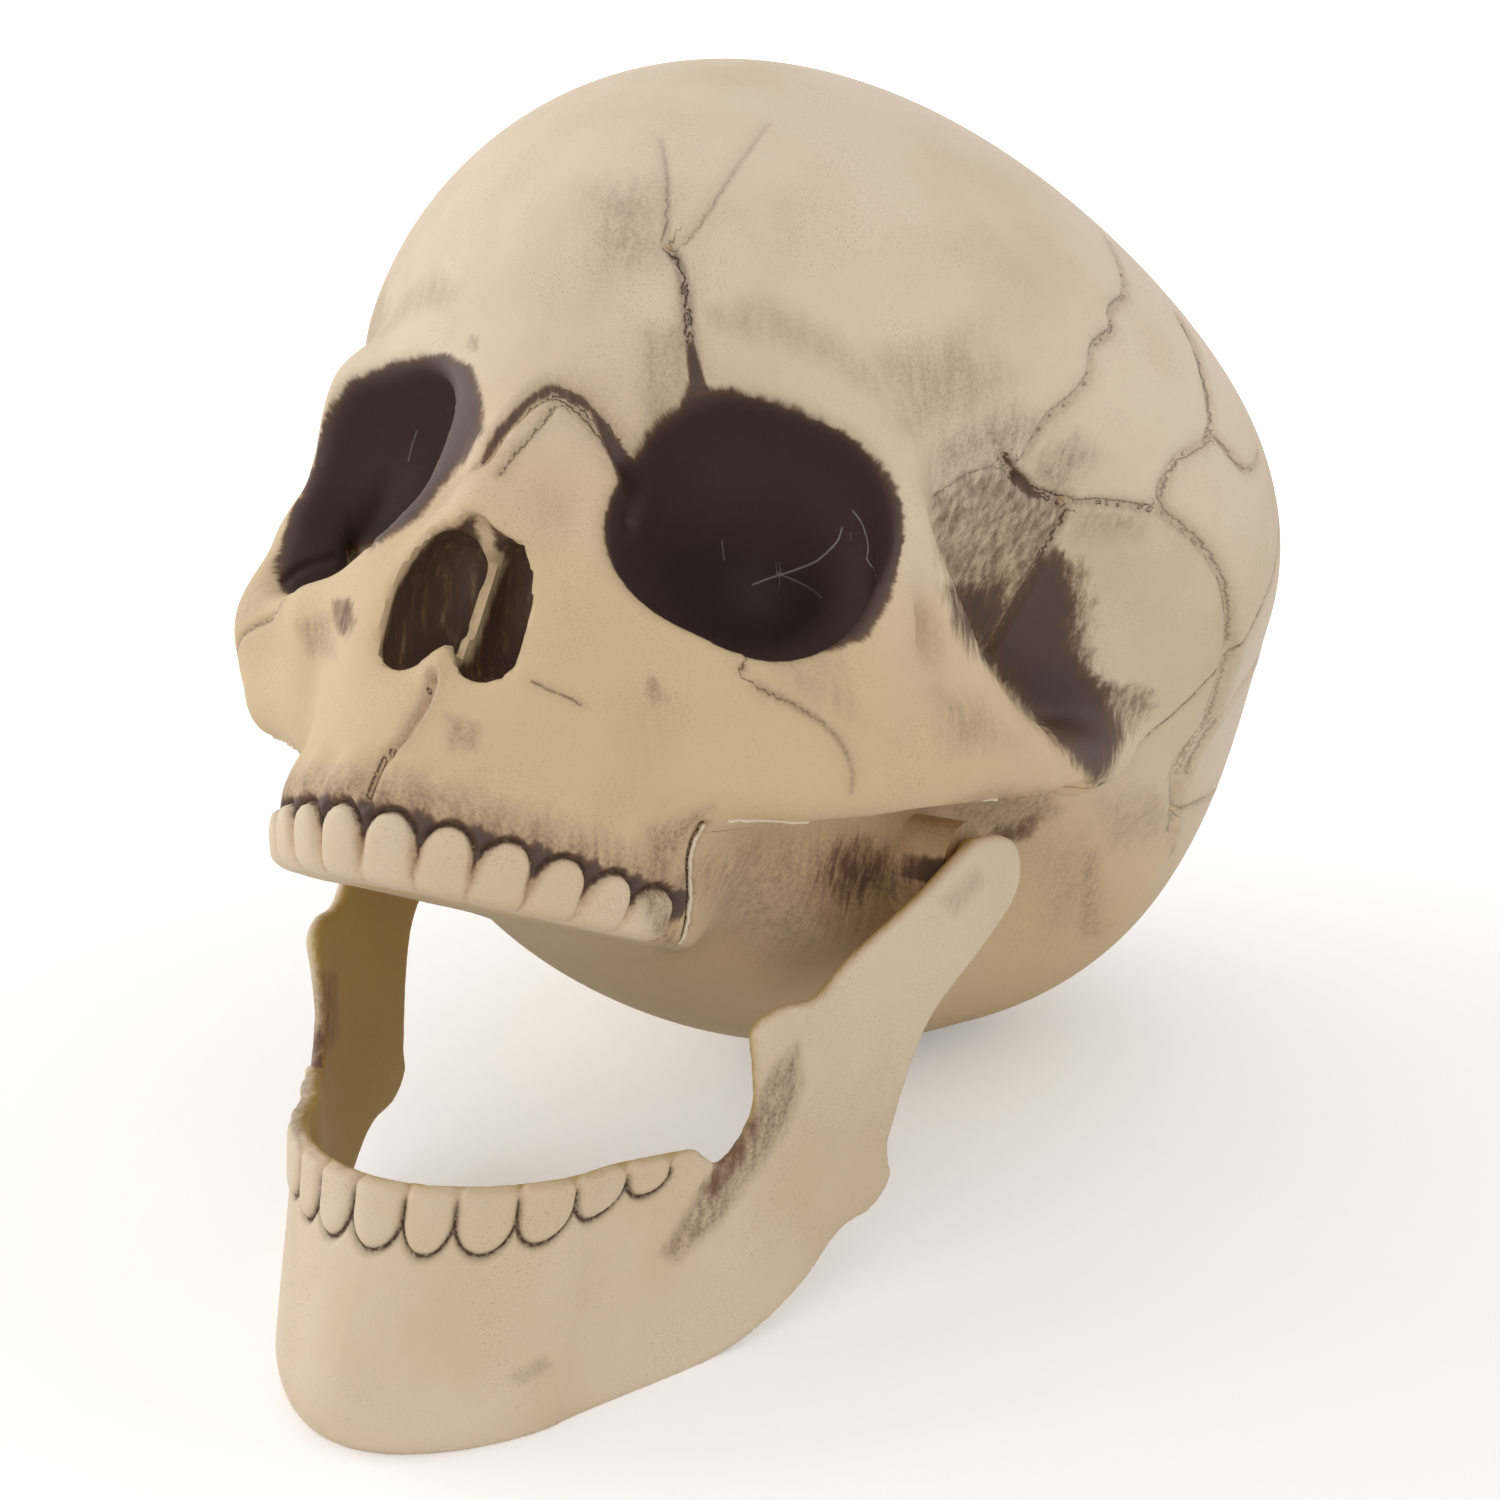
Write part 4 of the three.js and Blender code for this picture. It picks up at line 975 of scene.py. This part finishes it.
def paintSkull(made):
    p, n = pointsOf(made.data), vertexNormals(made)
    m = mirrored(p)
    outer = smooth(inChunks(skinField, p), -2.0, -1.3)  # the moulded face, not the lining
    sunk, hole = -inChunks(wholeField, m), socketField(m)
    socket = smooth(sunk, 0.8, 2.8) * smooth(hole, 3.5, 1.5)
    socket = np.maximum(socket, smooth(socketSpot(m)[:, 1], -3, 3) * smooth(hole, 2, 1))
    behindEdge = p[:, 1] - np.interp(p[:, 2], *np.transpose(face["septum"]))
    septum = smooth(m[:, 0], 1.7, 1.1) * smooth(behindEdge, 3, 1)
    nose = smooth(sunk, 0.5, 2.2) * smooth(noseField(m), 2, 0.8) * (1 - 0.75 * septum)
    edge, share, angle, aside = upperCrowns(p)
    toothRow = smooth(angle, 112, 98) * (edge < crownReach)
    wedge = smooth(edge, -0.3, 0.5) * smooth(aside, 0.4, 0.8) * smooth(share, 0.25, 0.7) * smooth(share, 1.2, 0.95)
    ledge = 0.8 * smooth(np.abs(edge - 0.4), 1.1, 0.1) * smooth(share, 0.6, 0.9)
    gum = np.maximum(wedge, ledge) * toothRow
    gumHaze = 0.7 * smooth(share, 1.9, 1.05) * smooth(edge, -0.5, 0.5) * toothRow
    crown = smooth(edge, 0.5, -0.5) * toothRow
    rift, rifted, halo = lineMarks(p, n, lines)
    scratch, scratched, _ = lineMarks(p, n, scratches)
    # Browner where the surface curves inwards, into creases
    dent = smooth(np.clip((4 - inChunks(skinField, p + n * 4)) / 4, 0, 1), 0.1, 0.6)
    base = smooth(p[:, 2], -24, -36) * smooth(p[:, 1], -60, -48) * smooth(n[:, 2], 0, -0.6)
    soot, wash, brush = (paintFrom(skullPaint, p, n, kind) for kind in ("soot", "wash", "brush"))
    soot = np.maximum.reduce([soot, socket, paintShares["nose"] * nose, paintShares["gum"] * gum])
    wash = np.maximum.reduce([wash, halo, gumHaze, paintShares["dent"] * dent])
    # Teeth are paler paint. The underside is made less tan too: painted light, as if lit from below
    tan = smooth(p[:, 2], 34, -8) * (1 - paintShares["paleTeethAndLitBase"] * np.maximum(crown, base))
    paintOn(made, soot=soot * outer, wash=wash * outer, brush=brush * outer, rift=rift, rifted=rifted * outer,
            scratch=scratch, scratched=scratched * outer, bare=np.maximum(1 - outer, paintShares["bareBase"] * base),
            tan=tan, stroke=p @ axes.T * (1, 0.14, 1), ring=ringsOf(p), ringed=smooth(hole, 7, 3))


def paintJaw(made):
    p, n = pointsOf(made.data), vertexNormals(made)
    q = unJaw(p)
    edge, below, _ = lowerCrowns(q)
    zero = np.zeros(len(q))
    speckled = (edge < crownReach) * smooth(below, 0.6, 3) * smooth(np.abs(edge), 3, 1.5)
    paintOn(made, soot=zero, wash=paintFrom(jawPaint, p, n, "wash"), brush=paintFrom(jawPaint, p, n, "brush"),
            rift=(edge - 0.25) / 0.5, rifted=paintShares["toothLine"] * speckled, scratch=zero + lineReach, scratched=zero,
            bare=smooth(jawDepth(q), -1.0, -1.8), tan=zero + paintShares["jawTan"], stroke=p @ axes.T * (1, 0.2, 1), ring=p,
            ringed=zero)


paintSkull(faceShell)
paintSkull(backShell)
paintJaw(jawLook)
print("painted")


def linear(*rgb):
    return [(c / 255 / 12.92 if c < 11 else ((c / 255 + 0.055) / 1.055) ** 2.4) for c in rgb] + [1]


# The nodes of a material or a world, and what adds and links them
def nodesOf(owner):
    owner.use_nodes = True
    tree = owner.node_tree

    def add(kind, **settings):
        node = tree.nodes.new(kind)
        for key, value in settings.items():
            setattr(node, key, value)
        return node

    return tree.nodes, add, tree.links.new


boneLook = {"cream": linear(226, 207, 183), "warm": linear(212, 190, 160), "tan": linear(212, 186, 146),
            "bare": linear(186, 160, 98), "brown": linear(120, 92, 76), "umber": linear(112, 82, 62),
            "soot": linear(86, 68, 62), "line": linear(88, 64, 50), "pale": linear(206, 196, 186),
            "roughness": 0.55, "specular": 0.25, "bump": 0.2, "bumpHeight": 0.0004}


def boneMaterial(name):
    material = bpy.data.materials.new(name)
    nodes, add, link = nodesOf(material)
    shader = nodes["Principled BSDF"]
    place = add("ShaderNodeTexCoord").outputs["Object"]

    def attribute(label, output="Fac"):
        return add("ShaderNodeAttribute", attribute_name=label).outputs[output]

    def noise(vector, scale, detail):
        node = add("ShaderNodeTexNoise")
        node.inputs["Scale"].default_value, node.inputs["Detail"].default_value = scale, detail
        link(vector, node.inputs["Vector"])
        return node.outputs["Fac"]

    def maths(how, a, b=0.0, clamp=False):
        node = add("ShaderNodeMath", operation=how, use_clamp=clamp)
        for socket, value in zip(node.inputs, (a, b)):
            if isinstance(value, (int, float)):
                socket.default_value = value
            else:
                link(value, socket)
        return node.outputs[0]

    def ramp(value, low, high, start=0.0, end=1.0):
        node = add("ShaderNodeMapRange", interpolation_type="SMOOTHSTEP")
        for key, number in (("From Min", low), ("From Max", high), ("To Min", start), ("To Max", end)):
            node.inputs[key].default_value = number
        link(value, node.inputs["Value"])
        return node.outputs["Result"]

    def mix(amount, a, b):
        node = add("ShaderNodeMix", data_type="RGBA")
        link(amount, node.inputs["Factor"])
        for socket, value in ((node.inputs["A"], a), (node.inputs["B"], b)):
            if isinstance(value, list):
                socket.default_value = value
            else:
                link(value, socket)
        return node.outputs["Result"]

    def between(amount, a, b):
        return maths("ADD", a, maths("MULTIPLY", amount, maths("SUBTRACT", b, a)))

    def ridge(label):  # a thin line where a signed gap is zero
        gap = attribute(label)
        return maths("EXPONENT", maths("MULTIPLY", maths("MULTIPLY", gap, gap), -1.0))

    cloud, blotch = noise(place, 24, 4), noise(place, 75, 3)
    speck, dust = noise(place, 1700, 2), noise(place, 4200, 1)
    stroke, ring, ringed = attribute("stroke", "Vector"), attribute("ring", "Vector"), attribute("ringed")
    streak, hair = (between(ringed, noise(stroke, scale, 3), noise(ring, scale, 3)) for scale in (0.75, 2.6))
    # The dark, brown and brush-stroke layers below are mostly the skull's own paint, and also carry painted shade: in
    # the hinge slot, under the condyle and the arch, along the molar edge and the parting line. The thin dark lines
    # there are painted shade too
    tone = mix(ramp(cloud, 0.35, 0.7), boneLook["cream"], boneLook["warm"])
    tone = mix(attribute("tan"), tone, boneLook["tan"])
    tone = mix(attribute("bare"), tone, boneLook["bare"])
    fleck, sweep = maths("MULTIPLY", ramp(speck, 0.42, 0.66), 0.35), maths("MULTIPLY", ramp(streak, 0.3, 0.7), 0.5)
    haze = maths("MULTIPLY", attribute("wash"), maths("ADD", maths("ADD", fleck, sweep), 0.35), True)
    tone = mix(haze, tone, boneLook["brown"])
    freckle = maths("MULTIPLY", ramp(dust, 0.6, 0.72), ramp(blotch, 0.4, 0.65, 0.08, 0.45))
    tone = mix(freckle, tone, boneLook["brown"])
    combed = maths("ADD", maths("MULTIPLY", streak, 1.1), maths("MULTIPLY", hair, 0.5))
    brushed = maths("ADD", attribute("brush"), maths("MULTIPLY", maths("SUBTRACT", combed, 0.8), 1.2))
    swept = maths("MULTIPLY", ramp(brushed, 0.05, 1.25), ramp(attribute("brush"), 0.0, 0.3))
    tone = mix(swept, tone, boneLook["umber"])
    thin = maths("MULTIPLY", ridge("rift"), attribute("rifted"))
    tone = mix(maths("MULTIPLY", thin, ramp(speck, 0.3, 0.55, 0.8, 1.4), True), tone, boneLook["line"])
    ragged = maths("ADD", attribute("soot"), maths("MULTIPLY", maths("SUBTRACT", combed, 0.8), 0.7))
    seen = ramp(attribute("soot"), 0.0, 0.25)
    tone = mix(maths("MULTIPLY", ramp(ragged, 0.05, 0.6), seen), tone, boneLook["umber"])
    tone = mix(maths("MULTIPLY", ramp(ragged, 0.25, 0.95), seen), tone, boneLook["soot"])
    tone = mix(maths("MULTIPLY", ridge("scratch"), attribute("scratched"), True), tone, boneLook["pale"])
    link(tone, shader.inputs["Base Color"])
    shader.inputs["Roughness"].default_value = boneLook["roughness"]
    shader.inputs["Specular IOR Level"].default_value = boneLook["specular"]
    bump = add("ShaderNodeBump")
    bump.inputs["Strength"].default_value = boneLook["bump"]
    bump.inputs["Distance"].default_value = boneLook["bumpHeight"]
    link(maths("ADD", maths("MULTIPLY", blotch, 1.5), maths("MULTIPLY", speck, 0.35)), bump.inputs["Height"])
    link(bump.outputs["Normal"], shader.inputs["Normal"])
    return material


def plainMaterial(name, colour, roughness):
    material = bpy.data.materials.new(name)
    shader = nodesOf(material)[0]["Principled BSDF"]
    shader.inputs["Base Color"].default_value = colour
    shader.inputs["Roughness"].default_value = roughness
    return material


def finishPiece(piece, body, node, material):
    setPoints(piece, toWorld(pointsOf(piece.data)))
    piece.data.shade_smooth()
    piece.data.set_sharp_from_angle(angle=math.radians(50))
    piece.data.materials.clear()
    piece.data.materials.append(material)
    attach(piece, body)
    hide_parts(node)


# Ragged moulding flash left along an edge: a bead that swells and wanders
flash = {"width": 0.0003, "step": 0.0004, "wander": 0.0008, "swell": 1.8}


def flashTree(material):
    tree = bpy.data.node_groups.new("mouldFlash", "GeometryNodeTree")
    tree.interface.new_socket("Edge", in_out="INPUT", socket_type="NodeSocketGeometry")
    named = {}
    for key in ("Width", "Step", "Wander", "Swell", "Seed"):
        named[key] = tree.interface.new_socket(key, in_out="INPUT", socket_type="NodeSocketFloat").identifier
    tree.interface.new_socket("Flash", in_out="OUTPUT", socket_type="NodeSocketGeometry")

    def add(kind, **inputs):
        node = tree.nodes.new(kind)
        for key, value in inputs.items():
            if hasattr(value, "is_output"):
                tree.links.new(value, node.inputs[key])
            else:
                node.inputs[key].default_value = value
        return node

    def noise(scale):
        node = tree.nodes.new("ShaderNodeTexNoise")
        node.noise_dimensions = "4D"
        node.inputs["Scale"].default_value = scale
        tree.links.new(given["Seed"], node.inputs["W"])
        return node

    given = tree.nodes.new("NodeGroupInput").outputs
    run = add("GeometryNodeMeshToCurve", Mesh=given["Edge"])
    fine = tree.nodes.new("GeometryNodeResampleCurve")
    fine.mode = "LENGTH"
    tree.links.new(run.outputs["Curve"], fine.inputs["Curve"])
    tree.links.new(given["Step"], fine.inputs["Length"])
    swell = add("ShaderNodeMapRange", Value=noise(420).outputs["Fac"])
    swell.inputs["From Min"].default_value, swell.inputs["From Max"].default_value = 0.38, 0.66
    swell.inputs["To Min"].default_value = 0.25
    tree.links.new(given["Swell"], swell.inputs["To Max"])
    thick = add("GeometryNodeSetCurveRadius", Curve=fine.outputs["Curve"], Radius=swell.outputs["Result"])
    ring = add("GeometryNodeCurvePrimitiveCircle", Resolution=6, Radius=given["Width"])
    bead = add("GeometryNodeCurveToMesh", Curve=thick.outputs["Curve"])
    tree.links.new(ring.outputs["Curve"], bead.inputs["Profile Curve"])
    bead.inputs["Fill Caps"].default_value = True
    centred = tree.nodes.new("ShaderNodeVectorMath")
    centred.operation = "SUBTRACT"
    centred.inputs[1].default_value = (0.5, 0.5, 0.5)
    tree.links.new(noise(700).outputs["Color"], centred.inputs[0])
    scaled = tree.nodes.new("ShaderNodeVectorMath")
    scaled.operation = "SCALE"
    tree.links.new(centred.outputs["Vector"], scaled.inputs[0])
    tree.links.new(given["Wander"], scaled.inputs["Scale"])
    shifted = add("GeometryNodeSetPosition", Geometry=bead.outputs["Mesh"], Offset=scaled.outputs["Vector"])
    real = add("GeometryNodeRealizeInstances", Geometry=shifted.outputs["Geometry"])
    coloured = add("GeometryNodeSetMaterial", Geometry=real.outputs["Geometry"], Material=material)
    tree.links.new(coloured.outputs["Geometry"], tree.nodes.new("NodeGroupOutput").inputs["Flash"])
    return tree, named


def flashAlong(name, paths, body, seed):
    points = np.concatenate([toWorld(path) for path in paths])
    ends = np.cumsum([0, *[len(path) for path in paths]])
    made = meshFrom(name, points, [], [(k, k + 1) for a, b in zip(ends[:-1], ends[1:]) for k in range(a, b - 1)])
    step = made.modifiers.new("flash", "NODES")
    step.node_group = flashNodes
    for key, value in {**flash, "seed": seed}.items():
        step[flashInputs[key.capitalize()]] = float(value)
    settle(made)
    made.data.shade_smooth()
    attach(made, body)
    print(name, len(made.data.polygons))


flashNodes, flashInputs = flashTree(plainMaterial("trimmedEdge", linear(226, 208, 184), 0.6))
trimmedEdge = {"above": 0.7, "runs": ((1, 11), (24, 37), (40, 58))}  # in hundredths of the cheek's lower edge
cheekRun = np.linspace(seam["cheekCorner"], seam["archEnd"], 101) + (0, trimmedEdge["above"])
cheekFlash = [alongEdge(skinField, cheekRun[a], cheekRun[b], 24) for a, b in trimmedEdge["runs"]]
molarEnds = np.add(seam["biteRear"], (-0.7, 0.6)), np.add(seam["cheekCorner"], (-0.7, -0.4))
cheekFlash.append(alongEdge(skinField, *molarEnds, 30))
flashAlong("cheekFlash", [path * (side, 1, 1) for side in (-1, 1) for path in cheekFlash], "skull", 3)

bone = boneMaterial("bone")
finishPiece(faceShell, "skull", "face_shell", bone)
finishPiece(backShell, "skull", "back_shell", bone)
finishPiece(jawLook, "jaw", "jaw", bone)

# Pins and washers keep their CAD shapes
nylon = plainMaterial("nylon", linear(196, 180, 146), 0.38)
for key in ("pivot_pin_left", "pivot_pin_right", "slot_washer_left", "slot_washer_right"):
    kept = frame["nodes"][key]
    kept.data.materials.clear()
    kept.data.materials.append(nylon)
print("materials set")

# Studio: the paper glows for the camera, less near the skull. A lamp is place, size in metres, watts
studio = {"floor": 3, "paper": 0.9, "glowFrom": 0.15, "glowFull": 0.6, "leastGlow": 0.25, "aim": (0, 0, 0.09),
          "fill": 0.6, "backdrop": 1.05}
lamps = {"left": ((-1.3, -0.25, 0.5), 1.2, 9), "right": ((1.15, 0.45, 0.6), 1.2, 2.2),
         "top": ((0.05, 0.1, 1.5), 1.4, 3), "low": ((0.35, -1.1, 0.05), 0.4, 2.8)}
floorCorners = np.array([(-1, -1, 0), (1, -1, 0), (1, 1, 0), (-1, 1, 0)], float) * studio["floor"]
floor = meshFrom("floor", floorCorners, [(0, 1, 2, 3)])
paper = plainMaterial("paper", (studio["paper"], studio["paper"], studio["paper"], 1), 0.9)
nodes, add, link = nodesOf(paper)
shader = nodes["Principled BSDF"]
shader.inputs["Specular IOR Level"].default_value = 0
shader.inputs["Emission Color"].default_value = (1, 1, 1, 1)
reach = add("ShaderNodeVectorMath", operation="LENGTH")
link(add("ShaderNodeTexCoord").outputs["Object"], reach.inputs[0])
spread = add("ShaderNodeMapRange", interpolation_type="SMOOTHSTEP")
for key, number in (("From Min", "glowFrom"), ("From Max", "glowFull"), ("To Min", "leastGlow")):
    spread.inputs[key].default_value = studio[number]
link(reach.outputs["Value"], spread.inputs["Value"])
glow = add("ShaderNodeMath", operation="MULTIPLY")
link(add("ShaderNodeLightPath").outputs["Is Camera Ray"], glow.inputs[0])
link(spread.outputs["Result"], glow.inputs[1])
link(glow.outputs[0], shader.inputs["Emission Strength"])
floor.data.materials.append(paper)

for name, (place, size, power) in lamps.items():
    lamp = bpy.data.objects.new(name, bpy.data.lights.new(name, "AREA"))
    lamp.data.energy, lamp.data.size = power, size
    lamp.location = place
    lamp.rotation_euler = (Vector(studio["aim"]) - Vector(place)).to_track_quat("-Z", "Y").to_euler()
    bpy.context.scene.collection.objects.link(lamp)

# White behind the skull and in its gloss, a dimmer light on everything else
world = bpy.data.worlds.new("studio")
bpy.context.scene.world = world
nodes, add, link = nodesOf(world)
fill, backdrop = nodes["Background"], add("ShaderNodeBackground")
for light, strength in ((fill, studio["fill"]), (backdrop, studio["backdrop"])):
    light.inputs["Color"].default_value = (1, 1, 1, 1)
    light.inputs["Strength"].default_value = strength
rays = add("ShaderNodeLightPath").outputs
either, both = add("ShaderNodeMath", operation="MAXIMUM"), add("ShaderNodeMixShader")
link(rays["Is Camera Ray"], either.inputs[0])
link(rays["Is Glossy Ray"], either.inputs[1])
link(either.outputs[0], both.inputs["Fac"])
link(fill.outputs[0], both.inputs[1])
link(backdrop.outputs[0], both.inputs[2])
link(both.outputs[0], nodes["World Output"].inputs["Surface"])
bpy.context.scene.view_settings.view_transform = "Standard"
